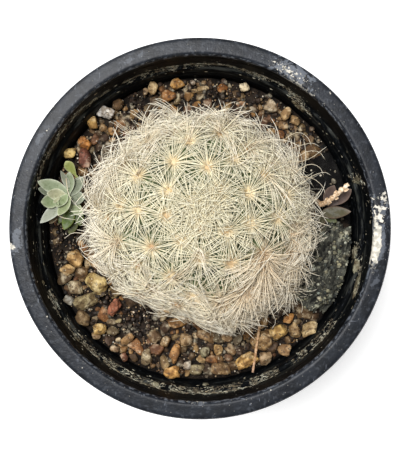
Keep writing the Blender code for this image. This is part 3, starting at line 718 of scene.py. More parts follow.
gravelSet = {
    "bedHeight": 71.0,        # mm, mean height of the soil between the stones
    "bedRelief": 0.9,
    "bedBottom": 66.4,
    "edge": 44.7,
    "dip": (42.5, 0.45),      # where the bed starts to dip to the wall, and how steeply
    # sectors without pebbles: from and to in degrees, and beyond which radius
    "cinder": (-37, 3, 32),
    # the shaded hollow right of the cactus: no pebbles, few crumbs and near-black soil, all painted shade
    "shadedHollow": (3, 33, 33),
    "pebbleTries": 9000,
    "pebbleSizes": (0.75, 2.5),
    "pebbleShape": ((1.0, 1.3), (0.78, 1.0), (0.6, 0.9)),  # length, width and thickness to size
    "pebbleRing": (24.5, 44.2),
    "pebbleTop": 75.4,
    "spacing": 0.76,
    "gritCount": 4400,
    "gritRing": (24, 44.3),
    "gritDark": ((40, 30, 23), (52, 39, 29), (32, 25, 21), (70, 53, 39)),
    "gritLight": ((164, 138, 104), (198, 174, 136), (224, 214, 196), (142, 114, 82)),
    "seed": 41,
    # x, y, half width and half depth in mm of bare soil between the pebbles
    "barePatches": (
        (-17.5, -27.5, 6.5, 5.0), (-28.0, -20.5, 3.5, 3.0), (-38.0, 1.0, 4.5, 6.0), (-40.5, -8.0, 3.0, 4.0),
        (-32.0, 36.0, 3.5, 2.6), (-38.5, 27.0, 3.0, 3.5), (-19.5, 37.5, 4.0, 2.4), (5.0, 39.5, 5.0, 2.6),
        (16.5, 38.0, 3.0, 2.2), (-15.0, -37.5, 2.2, 3.0),
    ),
    # named stones: x, y, height of the top, half length, half width, turn in degrees, colour
    "named": (
        (-27.3, 33.7, 75.4, 2.7, 2.0, -20, (226, 219, 210)),
        (-31.4, 31.0, 75.0, 2.0, 1.9, 0, (214, 172, 100)),
        (-24.1, 36.2, 74.6, 1.9, 1.7, 30, (124, 98, 66)),
        (-13.7, 40.9, 75.4, 2.0, 1.5, 70, (214, 188, 142)),
        (-6.9, 42.2, 75.2, 2.2, 1.8, 20, (206, 152, 82)),
        (-9.3, 38.8, 75.0, 2.4, 2.0, 5, (156, 110, 62)),
        (-33.9, 24.9, 74.8, 2.4, 1.8, -30, (196, 134, 70)),
        (-38.3, 22.0, 75.0, 2.3, 1.6, 10, (214, 184, 116)),
        (-33.6, 20.5, 75.8, 2.0, 3.2, 10, (134, 84, 66)),
        (-36.5, -8.5, 75.6, 2.9, 2.6, 70, (206, 164, 104)),
        (-38.9, -12.1, 75.2, 2.2, 1.8, -20, (200, 166, 112)),
        (-36.5, -17.4, 74.8, 2.2, 2.1, 0, (172, 158, 128)),
        (-30.3, -15.9, 76.0, 3.7, 3.1, -25, (214, 184, 118)),
        (-33.0, -21.6, 75.6, 4.4, 2.5, 20, (160, 142, 102)),
        (-25.3, -23.3, 75.8, 2.9, 1.7, 38, (190, 122, 92)),
        (-29.3, -29.2, 75.2, 2.0, 2.0, 0, (224, 190, 120)),
        (-34.2, -26.3, 74.8, 2.6, 2.1, -40, (134, 114, 82)),
        (-15.7, -38.0, 75.2, 1.8, 3.0, -10, (172, 156, 124)),
        (-8.4, -42.0, 75.2, 2.6, 2.0, 10, (214, 162, 92)),
        (-7.5, -36.4, 75.2, 1.7, 3.2, -25, (184, 136, 84)),
        (25.8, -26.3, 75.0, 1.8, 1.5, 10, (206, 150, 84)),
        (22.7, -30.1, 75.6, 2.6, 2.3, 40, (208, 172, 104)),
        (31.9, -29.2, 75.0, 2.9, 1.9, 25, (196, 170, 124)),
        (17.9, -32.8, 75.0, 3.6, 3.2, 0, (190, 152, 102)),
        (13.8, -38.7, 75.4, 3.6, 2.4, 35, (196, 158, 96)),
        (19.1, -38.0, 75.0, 2.0, 2.2, 10, (172, 146, 112)),
        (24.6, -35.4, 74.8, 2.2, 1.9, -35, (176, 146, 106)),
        (5.2, -35.5, 74.8, 1.5, 1.7, 0, (212, 176, 120)),
        (6.7, 41.2, 74.6, 1.7, 1.5, 20, (180, 120, 62)),
        (12.9, 41.2, 74.6, 1.6, 1.4, 0, (206, 192, 160)),
        (20.6, 35.7, 74.8, 2.2, 1.8, 0, (216, 200, 172)),
        (25.3, 33.5, 74.6, 1.8, 1.6, 40, (196, 164, 118)),
        (27.9, 31.7, 74.6, 1.7, 1.5, -20, (186, 156, 112)),
        (-3.9, -32.5, 75.4, 2.2, 1.9, 10, (170, 140, 100)),
        (-10.3, -33.1, 74.6, 1.8, 1.5, 60, (140, 106, 64)),
        (1.3, -36.3, 74.8, 1.8, 1.5, 20, (140, 130, 100)),
        (-3.6, -39.8, 74.6, 1.4, 1.3, 0, (190, 180, 164)),
        (-0.7, -41.5, 74.8, 2.2, 1.7, 5, (160, 145, 110)),
        (8.0, -31.4, 75.2, 1.9, 1.5, -10, (190, 160, 120)),
        (8.2, -37.8, 74.4, 1.5, 1.3, 0, (130, 98, 72)),
        (10.9, -32.5, 74.8, 2.0, 1.5, 80, (150, 140, 118)),
        (-15.9, 40.0, 74.4, 0.9, 1.3, 0, (150, 126, 96)),
        (-13.3, 37.1, 74.4, 1.3, 1.7, 10, (120, 100, 76)),
        (-2.0, 42.6, 74.6, 0.9, 0.8, 0, (222, 212, 196)),
        (-38.2, -20.9, 74.6, 1.8, 1.4, -30, (150, 145, 132)),
        (-25.3, -30.0, 74.6, 1.8, 1.5, -20, (130, 114, 84)),
        (-30.5, -31.3, 74.4, 1.4, 1.2, 10, (180, 154, 118)),
        (-23.8, -27.0, 74.8, 1.1, 0.7, 20, (204, 192, 150)),
        (-24.0, -32.5, 74.4, 0.9, 0.7, 0, (206, 190, 158)),
        (-40.0, -14.7, 74.2, 2.3, 1.9, 60, (112, 94, 64)),
        (-21.4, -32.5, 75.0, 2.5, 1.6, 30, (150, 116, 76)),
        (-25.0, -35.4, 74.2, 1.4, 1.2, 0, (166, 136, 100)),
        (-22.2, -37.9, 74.4, 1.5, 1.1, -50, (140, 92, 66)),
    ),
    "colours": (
        (164, 132, 88), (146, 116, 78), (128, 100, 66), (168, 128, 76), (104, 82, 56),
        (138, 122, 94), (120, 84, 56), (88, 68, 48), (182, 154, 110), (148, 104, 62),
        (94, 74, 58), (72, 57, 44), (134, 114, 78), (112, 92, 62),
    ),
}


def soilHeight(x, y):
    # ripples of two sizes, and a dip along the wall
    ripple = noise.noise(Vector((x / 5.5, y / 5.5, 2.7)))
    ripple += 0.5 * noise.noise(Vector((x / 2.1, y / 2.1, 8.3)))
    start, steepness = gravelSet["dip"]
    dip = max(0, math.hypot(x, y) - start) * steepness
    return gravelSet["bedHeight"] + gravelSet["bedRelief"] * ripple - dip


def inSector(x, y, name):
    low, high, inner = gravelSet[name]
    return low <= math.degrees(math.atan2(y, x)) < high and math.hypot(x, y) > inner


def bareSoil(x, y):
    # from 0 to 1 towards the middle of a patch of crumbly soil without pebbles
    return max(0, *(
        1 - math.hypot((x - middleX) / wide, (y - middleY) / high)
        for middleX, middleY, wide, high in gravelSet["barePatches"]
    ))


def inRing(rng, inner, outer):
    # a random place between two radii round the pot's axis
    radius = math.sqrt(rng.uniform(inner ** 2, outer ** 2))
    angle = rng.uniform(0, math.tau)
    return radius * math.cos(angle), radius * math.sin(angle)


def soilMaterial(name, dark, light):
    material, tree, shader, where = newMaterial(name, Specular_IOR_Level=0.25)
    patches = mottled(tree, where, 420, 8, 0.35, 0.65)
    colour = blendColours(tree, patches, dark, light)
    perlite = flecked(tree, where, 700, 0.16, 0.1)
    colour = blendColours(tree, perlite, colour, paint(206, 196, 176))
    relief = grained(tree, where, 700, 2600, 0.6)
    rough = rise(tree, patches, 0, 1, 0.95, 0.75)
    finishSurface(tree, shader, colour, rough, relief, 0.9, 0.0008)
    return material


def pebbleMaterial(name):
    material, tree, shader, where = newMaterial(name, Specular_IOR_Level=0.4)
    tint = vertexTint(tree)
    blotches = mottled(tree, where, 520, 8, 0.4, 0.66)
    shade = multiplied(tree, tint, (0.40, 0.34, 0.28, 1))
    colour = blendColours(tree, blotches, shade, tint)
    cloudy = mottled(tree, where, 240, 3, 0.5, 0.64)
    powder = blendColours(tree, 0.4, tint, paint(226, 214, 184))
    colour = blendColours(tree, times(tree, cloudy, blotches), colour, powder)
    stains = mottled(tree, where, 1150, 5, 0.55, 0.64)
    colour = blendColours(tree, times(tree, stains, 0.75), colour, paint(58, 42, 28))
    pale = flecked(tree, where, 1300, 0.16, 0.2)
    colour = blendColours(tree, times(tree, pale, 0.5), colour, paint(228, 214, 184))
    rough = rise(tree, blotches, 0, 1, 0.75, 0.5)
    relief = grained(tree, where, 900, 3200, 0.5)
    finishSurface(tree, shader, colour, rough, relief, 0.7, 0.0006)
    return material


def makeSoilBed():
    rings, steps = 62, 220
    points, faces = [(0, 0, soilHeight(0, 0))], []
    for ring in range(1, rings + 1):
        radius = gravelSet["edge"] * ring / rings
        for step in range(steps):
            angle = math.tau * step / steps
            x, y = radius * math.cos(angle), radius * math.sin(angle)
            points.append((x, y, soilHeight(x, y)))
    last = 1 + (rings - 1) * steps
    low = len(points)
    points += [(x * 0.985, y * 0.985, gravelSet["bedBottom"]) for x, y, _ in points[last:last + steps]]
    for step in range(steps):
        after = (step + 1) % steps
        faces.append([0, 1 + step, 1 + after])
        faces.append([last + step, low + step, low + after, last + after])
        for ring in range(rings - 1):
            inner, outer = 1 + ring * steps, 1 + (ring + 1) * steps
            faces.append([inner + step, outer + step, outer + after, inner + after])
    faces.append(list(range(low, low + steps))[::-1])
    material = soilMaterial("soil_between_stones", paint(15, 11, 8), paint(44, 34, 25))
    bed = meshPiece("soilBed", points, faces, material)
    # faces in the shaded hollow get near-black soil: painted shade
    bed.data.materials.append(soilMaterial("soil_painted_shade", paint(4, 3, 3), paint(13, 11, 9)))
    for face in bed.data.polygons:
        x, y, _ = face.center / mm
        ragged = 3 * noise.noise(Vector((x / 3, y / 3, 1.7)))
        face.material_index = int(inSector(x, y + ragged, "shadedHollow"))
    dress(bed, "soil", "gravel_dressing")


def nearColour(rng, colour, spread):
    # the colour, a little lighter or darker and warmer or cooler
    light = 1 + rng.normal() * spread
    warm = rng.normal() * spread * 0.35
    red, green, blue, _ = paint(*colour)
    return (red * light * (1 + warm), green * light, blue * light * (1 - warm))


def pebblePlaces(rng):
    # each place: x, y, half sizes, turn, colour, height of the top
    placed = []
    for x, y, top, half, width, turnAngle, colour in gravelSet["named"]:
        thick = min(half, width) * 0.85
        placed.append([x, y, half, width, thick, turnAngle, colour, top])
    smallest, largest = gravelSet["pebbleSizes"]
    inner, outer = gravelSet["pebbleRing"]
    sizes = smallest + (largest - smallest) * np.sort(rng.random(gravelSet["pebbleTries"]) ** 1.9)[::-1]
    for size in sizes:
        x, y = inRing(rng, inner, outer - size)
        tooLarge = y > 24 and size > 1.5
        if inSector(x, y, "cinder") or inSector(x, y, "shadedHollow") or bareSoil(x, y) or tooLarge:
            continue
        if all(
            math.hypot(x - otherX, y - otherY) > gravelSet["spacing"] * (size + (otherHalf + otherWidth) / 2)
            for otherX, otherY, otherHalf, otherWidth, *_ in placed
        ):
            half, width, thick = (size * rng.uniform(*share) for share in gravelSet["pebbleShape"])
            top = soilHeight(x, y) + thick * rng.uniform(0.9, 1.8)
            colour = gravelSet["colours"][rng.integers(len(gravelSet["colours"]))]
            top = min(top, gravelSet["pebbleTop"])
            placed.append([x, y, half, width, thick, rng.uniform(0, 360), colour, top])
    return placed


def makePebbles():
    rng = np.random.default_rng(gravelSet["seed"])
    stones = []
    places = pebblePlaces(rng)
    for index, (x, y, half, width, thick, turnAngle, colour, top) in enumerate(places):
        directions, faces = balls[4 if half > 2.6 else 3 if half > 1.15 else 2]
        shape = stonePoints(directions, rng, int(rng.integers(8, 16)), rng.uniform(8, 18))
        lumps = 0.22 * roughness3d(shape, 0.9, index) + 0.11 * roughness3d(shape, 0.38, index + 500)
        shape *= (1 + lumps + 0.05 * roughness3d(shape, 0.17, index + 900))[:, None]
        shape /= np.abs(shape).max(0)
        tilt = Matrix.Rotation(rng.normal() * 0.25, 3, "X") @ Matrix.Rotation(rng.normal() * 0.25, 3, "Y")
        spin = np.array(Matrix.Rotation(math.radians(turnAngle), 3, "Z") @ tilt)
        shape = shape * (half, width, thick) @ spin.T
        shape += (x, y, top - shape[:, 2].max())
        stones.append((shape, faces, nearColour(rng, colour, 0.07)))
    pebbles = joinStones("pebbles", stones, pebbleMaterial("pebble_mix"))
    dress(pebbles, "gravel")
    print("pebbles:", len(stones), "stones,", len(pebbles.data.polygons), "faces")


def makeGrit():
    # crumbs of soil, small gravel and perlite between and against the pebbles
    rng = np.random.default_rng(gravelSet["seed"] + 1)
    stones = []
    while len(stones) < gravelSet["gritCount"]:
        x, y = inRing(rng, *gravelSet["gritRing"])
        # in the shaded hollow most crumbs are left out and few are light: painted shade
        inShadedHollow = inSector(x, y, "shadedHollow")
        if inSector(x, y, "cinder") or (inShadedHollow and rng.random() < 0.9):
            continue
        bare = bareSoil(x, y)
        if bare == 0 and rng.random() < 0.35:
            continue
        clump = max(0, noise.noise(Vector((x / 7, y / 7, 4.4)))) * 3.4 + min(bare * 2, 1) * 2.4
        isLight = rng.random() < (0.03 if inShadedHollow else 0.3 if bare else 0.42)
        size = rng.uniform(0.12, 0.42) if isLight else rng.uniform(0.3, 0.85)
        directions, faces = balls[2 if size > 0.6 else 1]
        shape = stonePoints(directions, rng, 10, 8) * size * rng.uniform(0.6, 1.15, 3)
        lift = size * 0.3 + clump * rng.random() + (0.3 if isLight else 0)
        palette = gravelSet["gritLight" if isLight else "gritDark"]
        shape += (x, y, soilHeight(x, y) + lift)
        stones.append((shape, faces, nearColour(rng, palette[rng.integers(4)], 0.12)))
    grit = joinStones("grit", stones, pebbleMaterial("grit_mix"))
    dress(grit, "gravel")
    print("grit:", len(stones), "crumbs")


# cactus: one ball of tubercles, each with a star of fine spines

cactusForm = {
    "centre": (0.4, 1.7, 82.0),
    "lean": 8,                # degrees, crown towards +Y
    "tips": (27.6, 21.0),     # mm, half width and half height through the areoles
    "valleys": 5.4,           # mm, depth of the valleys between tubercles
    "tubercle": 0.17,         # radians, half width
    "underside": (0.72, 5, 0.2),  # share of the depth where it begins, mm it sinks, how far it narrows
    # skin at the tubercle tips and down in the valleys; the darker valleys are painted shade
    "skinColours": ((106, 124, 74), (28, 40, 22)),
    # areoles that the photo shows, by its pixel
    "seen": (
        (189, 142), (148, 147), (174, 162), (208, 167), (235, 159), (264, 175), (139, 176), (169, 191),
        (248, 193), (139, 210), (167, 215), (182, 240), (201, 227), (227, 231), (250, 223), (277, 217),
        (152, 247), (119, 242), (201, 257), (231, 263), (172, 276), (193, 294), (263, 253), (244, 288),
        (288, 255), (220, 134), (257, 139), (220, 191), (112, 192), (98, 178), (192, 205), (210, 208),
    ),
    "spacing": 0.262,         # radians, least distance of the others
    "lastAngle": 112,         # degrees down from the crown
    "lowestAreole": 76.6,
    # how far the spines reach round the plant: degrees, mm from its middle
    "outline": (
        (0, 36.4), (14, 38.4), (30, 39.4), (46, 37.6), (90, 36.6), (135, 37.0), (180, 37.4),
        (192, 34.6), (204, 31.4), (217, 30.2), (228, 27.8), (237, 26.6), (258, 26.2), (266, 27.0),
        (274, 29.4), (288, 33.6), (299, 35.6), (320, 36.6), (360, 36.4),
    ),
    # degrees round the plant, and there: how tight that outline is, and how hard it presses
    "tight": ((188, 212, 270, 294), (0, 1, 1, 0)),
    "press": ((185, 205, 262, 285), (0.8, 0.92, 0.92, 0.8)),
    "roundOff": 25.0,         # mm above the middle at which a tight flank would close
    "seed": 7,
}

spineSet = {
    "side": (0.95, 1.5),      # radians down from the crown where the flank begins and is complete
    # each pair: at the crown and at the flank
    "facing": (0.42, 0.4),    # how far a star turns up from the surface
    "count": (58, 60),
    "length": (8.4, 10.6),    # mm
    "lift": (14, 22),         # degrees above the plane of the star
    "bend": (24, 40),         # degrees of droop along a spine
    "loose": (0, 0.4),        # how far the spines stray from an even star
    "radius": (0.14, 0.105),  # mm, at the base and near the tip
    "radiusAtSide": 0.8,
    "steps": 5,
    "lowest": 73.6,
    "farthest": 43.6,
    "coreColours": ((234, 216, 176), (226, 200, 160)),
    "middleColour": (226, 220, 192),
    "tipColour": (230, 226, 204),
    "sideColour": (243, 237, 219),
    "tanColours": ((208, 184, 150), (224, 208, 180)),
    "tanPlaces": ((12.4, -17.6, 8.5), (20.5, -9.5, 8.5), (-1.5, -20.5, 4.5), (22.0, -18.0, 8.0)),
    # young stars at the very top: x, y in mm from the crown, spines, length, lift, bend, looseness
    "crownTufts": (
        (-2.6, 2.2, 30, 7.2, 26, 24, 0.5),
        (2.4, -0.4, 30, 7.2, 26, 24, 0.5),
        (1.4, 4.6, 26, 6.8, 30, 24, 0.5),
        (-2.0, -2.6, 26, 7.0, 30, 24, 0.5),
        (4.8, 2.4, 22, 6.6, 26, 24, 0.5),
    ),
}


def leanMatrix():
    return np.array(Matrix.Rotation(math.radians(-cactusForm["lean"]), 3, "X"))


def ballSize():
    wide, tall = cactusForm["tips"]
    return np.array((wide, wide, tall))


def sightLine(column, row):
    # the way from the camera through a photo pixel, for each millimetre down
    slope = studio["sensor"] / studio["lens"] / studio["photoRows"]
    middleColumn, middleRow = studio["photoMiddle"]
    return np.array(((column - middleColumn) * slope, (middleRow - row) * slope, -1.0))


def seenOnBall(column, row):
    # the direction, in the cactus's own frame, at which a photo pixel meets the ball
    sight = sightLine(column, row) @ leanMatrix() / ballSize()
    eye = (np.array((0, 0, studio["cameraHeight"] / mm)) - cactusForm["centre"]) @ leanMatrix() / ballSize()
    half = eye @ sight
    reach = half ** 2 - (sight @ sight) * (eye @ eye - 1)
    return unit(eye + sight * (-half - math.sqrt(max(reach, 0))) / (sight @ sight))


def goldenSpiral(cosines):
    # directions at these cosines from the top, each a golden angle further round
    turn = np.arange(len(cosines)) * math.pi * (3 - math.sqrt(5))
    sines = np.sqrt(1 - cosines ** 2)
    return np.stack((sines * np.cos(turn), sines * np.sin(turn), cosines), 1)


def areoleDirections():
    # the areoles in the photo, and between and below them as many as a golden spiral finds room for
    found = [seenOnBall(*pixel) for pixel in cactusForm["seen"]]
    for trial in goldenSpiral(np.linspace(1, math.cos(math.radians(cactusForm["lastAngle"])), 1500)):
        if np.linalg.norm(np.array(found) - trial, axis=1).min() > cactusForm["spacing"]:
            found.append(trial)
    return np.array(found)


def onBall(directions, outward=0.0):
    # points on the ball through the areoles, in the row frame
    return directions * (ballSize() + outward) @ leanMatrix().T + cactusForm["centre"]


def ballNormals(directions):
    return unit(directions / ballSize()) @ leanMatrix().T


def bodyMaterial():
    material, tree, shader, where = newMaterial("cactus_skin", Specular_IOR_Level=0.35)
    tint = vertexTint(tree)
    bloom = mottled(tree, where, 700, 4, 0.35, 0.7)
    pale = blendColours(tree, 0.14, tint, paint(176, 186, 158))
    colour = blendColours(tree, bloom, tint, pale)
    relief = grained(tree, where, 800, 3000, 0.5)
    finishSurface(tree, shader, colour, rise(tree, bloom, 0, 1, 0.5, 0.7), relief, 0.4, 0.0003)
    return material


def makeBody(skin):
    directions, faces = unitBall(6)
    areoles = areoleDirections()
    nearest = np.full(len(directions), 9.0)
    for areole in areoles:
        nearest = np.minimum(nearest, np.linalg.norm(directions - areole, axis=1))
    valley = 1 - np.exp(-(nearest / cactusForm["tubercle"]) ** 2.2)
    points = onBall(directions, -0.5)
    points -= ballNormals(directions) * (cactusForm["valleys"] * valley)[:, None]
    begins, drop, narrowing = cactusForm["underside"]
    below = np.clip(-directions[:, 2] - begins, 0, None) / (1 - begins)
    middle = np.array(cactusForm["centre"][:2])
    points[:, 2] -= below ** 2 * drop
    points[:, :2] = middle + (points[:, :2] - middle) * (1 - narrowing * below)[:, None]
    # the skin darkens from the tips into the valleys: painted shade
    tip, deep = linearRows(cactusForm["skinColours"])
    tints = tip + (deep - tip) * valley[:, None]
    dress(meshPiece("cactusBody", points, faces.tolist(), skin, tints), "cactus", "feather_cactus")
    print("cactus body:", len(areoles), "tubercles")


def hairMaterial(name, roughness):
    material, tree, shader, where = newMaterial(name, Specular_IOR_Level=0.4)
    tint = vertexTint(tree)
    shade = multiplied(tree, tint, (0.86, 0.82, 0.76, 1))
    streaks = mottled(tree, where, 900, 3, 0.35, 0.65)
    rough = rise(tree, streaks, 0, 1, roughness + 0.15, roughness)
    finishSurface(tree, shader, blendColours(tree, streaks, shade, tint), rough)
    return material


def grow(roots, normals, headings, lifts, lengths, bends, sways, steps):
    # centre lines of many spines at once: each starts at its root and bends as it goes
    sides = np.cross(normals, headings)
    points = [roots]
    for step in range(steps):
        along = (step + 0.5) / steps
        lift = (lifts - bends * along)[:, None]
        sway = (sways * along)[:, None]
        flat = np.cos(sway) * headings + np.sin(sway) * sides
        ahead = np.cos(lift) * flat + np.sin(lift) * normals
        points.append(points[-1] + ahead * (lengths / steps)[:, None])
    return np.stack(points, 1)


def keepClear(lines):
    # spines bend up off the gravel, press against the plant's outline and stay inside the pot's wall
    roots = lines[:, :1].copy()
    deep = np.clip(spineSet["lowest"] - lines[:, :, 2], 0, None)
    lines[:, :, 2] += deep * 0.94
    middle = np.array(cactusForm["centre"][:2])
    away = lines[:, :, :2] - middle
    reach = np.linalg.norm(away, axis=2)
    turn = np.degrees(np.arctan2(away[:, :, 1], away[:, :, 0])) % 360
    limit = np.interp(turn, *zip(*cactusForm["outline"]))
    # where the outline is tight, the spines lie on a round flank and not against an upright wall
    tight = np.interp(turn, *cactusForm["tight"])
    above = np.clip((lines[:, :, 2] - cactusForm["centre"][2]) / cactusForm["roundOff"], 0, 0.97)
    limit *= 1 - tight * (1 - np.sqrt(1 - above ** 2))
    limit += tight * 0.9 * np.sin(2.4 * np.arange(len(lines)))[:, None]
    over = np.clip(reach - limit, 0, None)
    press = np.interp(turn, *cactusForm["press"])
    press[::4] *= 0.78
    lines[:, :, :2] = middle + away * (1 - over * press / np.maximum(reach, 1))[:, :, None]
    radius = np.linalg.norm(lines[:, :, :2], axis=2)
    over = np.clip(radius - spineSet["farthest"], 0, None)
    lines[:, :, :2] *= (1 - over * 0.9 / np.maximum(radius, 1))[:, :, None]
    lines[:, :1] = roots
    return lines


def threadPiece(name, lines, radii, tints, material):
    # three-sided threads with a pointed end; lines (n, m, 3), radii (n, m), tints (n, m, 3)
    count, length, _ = lines.shape
    tangents = unit(np.gradient(lines, axis=1))
    helper = np.where(np.abs(tangents[:, :, 2:]) < 0.9, (0.0, 0.0, 1.0), (1.0, 0.0, 0.0))
    across = unit(np.cross(tangents, helper))
    upward = np.cross(tangents, across)
    rings = []
    for corner in range(3):
        angle = math.tau * corner / 3
        offset = across * math.cos(angle) + upward * math.sin(angle)
        rings.append(lines + offset * radii[:, :, None])
    rings = np.stack(rings, 2)[:, :-1].reshape(count, -1, 3)
    points = np.concatenate((rings, lines[:, -1:]), 1)
    colours = np.concatenate((np.repeat(tints[:, :-1], 3, 1), tints[:, -1:]), 1)
    each = points.shape[1]
    starts = np.arange(count)[:, None] * each
    faces = (starts + (0, 1, 2))[:, ::-1].tolist()
    for ring in range(length - 2):
        for corner in range(3):
            after = (corner + 1) % 3
            low, high = ring * 3, ring * 3 + 3
            faces += (starts + (low + corner, low + after, high + after, high + corner)).tolist()
    last = (length - 2) * 3
    for corner in range(3):
        faces += (starts + (last + corner, last + (corner + 1) % 3, each - 1)).tolist()
    return meshPiece(name, points.reshape(-1, 3), faces, material, colours.reshape(-1, 3))


def roundNormals(normals, turn):
    # directions at right angles to the normals, turned by an angle
    helper = np.where(np.abs(normals[:, 2:]) < 0.95, (0.0, 0.0, 1.0), (1.0, 0.0, 0.0))
    first = unit(np.cross(helper, normals))
    return np.cos(turn)[:, None] * first + np.sin(turn)[:, None] * np.cross(normals, first)


def starSpines(rng, roots, normals, counts, lengths, lifts, bends, loose):
    # the spines of many areoles; returns their lines, and the number of the areole of each
    owner = np.repeat(np.arange(len(roots)), counts)
    order = np.concatenate([np.arange(count) for count in counts])
    total = len(owner)
    start = rng.uniform(0, math.tau, len(roots))[owner]
    turn = start + math.tau * (order + rng.uniform(-0.35, 0.35, total)) / counts[owner]
    headings = roundNormals(normals[owner], turn)
    upper = order % 4 == 0
    stray = loose[owner]
    lift = np.radians(lifts[owner] + np.where(upper, 14, 0) + rng.normal(0, 5, total) * (1 + stray))
    size = lengths[owner] * (1 + rng.uniform(-0.18, 0.12, total) * (1 + stray))
    bend = np.radians(bends[owner] + rng.normal(0, 9, total) * (1 + 2 * stray))
    sway = np.radians(rng.normal(0, 12, total) * (1 + stray))
    lines = grow(
        roots[owner] + headings * 0.3, normals[owner], headings, lift, size, bend, sway, spineSet["steps"],
    )
    return lines, owner


def alongTints(base, middle, tip, steps, rng, spread):
    # colours from root to tip for each spine
    along = np.linspace(0, 1, steps + 1)[None, :, None]
    near = np.clip(along / 0.3, 0, 1)
    far = np.clip((along - 0.3) / 0.7, 0, 1)
    colours = base[:, None] * (1 - near) + middle[:, None] * near
    colours = colours * (1 - far) + tip[:, None] * far
    return colours * (1 + rng.normal(0, spread, (len(base), 1, 1)))


def hairPiece(name, lines, hair, rng, spread, material):
    # threads along the lines, with the colours and the thickness of one kind of hair
    base, middle, tip = (np.tile(row, (len(lines), 1)) for row in linearRows(hair["colours"]))
    tints = alongTints(base, middle, tip, lines.shape[1] - 1, rng, spread)
    radii = np.tile(np.linspace(*hair["radius"], lines.shape[1]), (len(lines), 1))
    dress(threadPiece(name, lines, radii, tints, material), "cactus")
    print(name + ":", len(lines), "hairs")


def makeSpines(material):
    rng = np.random.default_rng(cactusForm["seed"])
    directions = areoleDirections()
    roots = onBall(directions)
    keep = roots[:, 2] > cactusForm["lowestAreole"]
    directions, roots = directions[keep], roots[keep]
    normals = ballNormals(directions)
    down = np.arccos(directions[:, 2])
    begins, complete = spineSet["side"]
    side = np.clip((down - begins) / (complete - begins), 0, 1)
    ranges = (spineSet[part] for part in ("count", "length", "lift", "bend", "loose", "facing"))
    number, size, lift, droop, loose, turnUp = (crown + (flank - crown) * side for crown, flank in ranges)
    facing = unit(normals + turnUp[:, None] * (0, 0, 1))

    # the stars of the areoles, and after them the young ones at the very top
    tufts = np.array(spineSet["crownTufts"])
    none = np.zeros(len(tufts))
    tuftRows = unit(np.column_stack((tufts[:, :2] / cactusForm["tips"][0], none + 1)))
    stars = np.column_stack((number, size, lift, droop, loose))
    number, size, lift, droop, loose = np.concatenate((stars, tufts[:, 2:])).T
    lines, owner = starSpines(
        rng, np.concatenate((roots, onBall(tuftRows))), np.concatenate((facing, ballNormals(tuftRows))),
        np.round(number).astype(int), size, lift, droop, loose,
    )
    lines = keepClear(lines)

    # colours: tan in some places, darker hearts towards the front, pale flanks
    side = np.concatenate((side, none))[owner][:, None]
    tan = np.zeros(len(lines))
    for x, y, radius in spineSet["tanPlaces"]:
        away = np.linalg.norm(lines[:, 0, :2] - (x, y), axis=1) / radius
        tan = np.maximum(tan, np.clip(1.5 - 1.2 * away, 0, 1))
    tan = (tan * rng.uniform(0.6, 1.2, len(lines)))[:, None].clip(0, 1)
    core, deep, middle, tip, flank, tanCore, tanTip = linearRows(
        spineSet["coreColours"] + (spineSet["middleColour"], spineSet["tipColour"], spineSet["sideColour"])
        + spineSet["tanColours"])
    tone = (0.4 - roots[:, 1] / 40 + rng.uniform(-0.3, 0.3, len(roots))).clip(0, 1)
    tone = np.concatenate((tone, none))[owner][:, None]
    core = (core + (deep - core) * tone) * (1 - tan) + tanCore * tan
    middle = (middle * (1 - side) + flank * side) * (1 - tan) + tanTip * tan
    tip = (tip * (1 - side) + flank * side) * (1 - 0.7 * tan) + tanTip * 0.7 * tan
    tints = alongTints(core, middle, tip, spineSet["steps"], rng, 0.07)
    radii = np.linspace(*spineSet["radius"], lines.shape[1])[None] * rng.uniform(0.85, 1.15, (len(lines), 1))
    radii *= 1 + (spineSet["radiusAtSide"] - 1) * side

    # three pieces, by how far down from the crown the star sits
    angle = np.concatenate((down, none))[owner]
    zone = np.minimum((angle / math.radians(cactusForm["lastAngle"]) * 3).astype(int), 2)
    for index, name in enumerate(("crownSpines", "shoulderSpines", "flankSpines")):
        part = zone == index
        piece = threadPiece(name, lines[part], radii[part], tints[part], material)
        dress(piece, "cactus")
        print(name + ":", int(part.sum()), "spines,", len(piece.data.polygons), "faces")
    return roots, normals, down


woolSet = {
    "radius": 1.05,           # mm, half width of the felt cushion under a star
    "height": 0.3,
    "colours": ((206, 184, 144), (196, 168, 128), (212, 194, 156), (186, 154, 118)),
    "seed": 3,
}


def makeWool(roots, normals, down, material):
    # a small felt cushion at the root of each star
    rng = np.random.default_rng(woolSet["seed"])
    directions, faces = balls[2]
    tufts = []
    for root, normal, angle in zip(roots, normals, down):
        turn = np.array(Vector(normal).to_track_quat("Z", "Y").to_matrix())
        size = woolSet["radius"] * rng.uniform(0.8, 1.15) * (0.7 if angle < 0.2 else 1)
        shape = directions * (size, size, woolSet["height"]) * rng.uniform(0.85, 1.1, (len(directions), 1))
        shape = shape @ turn.T + root
        tufts.append((shape, faces, nearColour(rng, woolSet["colours"][rng.integers(4)], 0.06)))
    wool = joinStones("areoleWool", tufts, material)
    dress(wool, "cactus")


# the two offsets at the lower right, and the long tan hair that hangs over them

offsetForm = {
    "directions": (-41, -75),  # degrees
    "distance": 21.5,          # mm from the cactus's middle
    "height": 81.5,
    "body": 5.8,
    "tips": 8.4,
    "areoles": 26,
    "spines": 26,
    "length": 6.4,
    "lift": 36,
    "bend": 40.0,
    "looseness": 0.8,
    "radius": (0.11, 0.07),
    # skin at the tubercle tips and down in the valleys; the darker valleys are painted shade
    "skinColours": ((116, 132, 84), (60, 78, 42)),
    "colours": ((190, 156, 118), (214, 198, 168), (226, 216, 196)),
    "seed": 21,
}


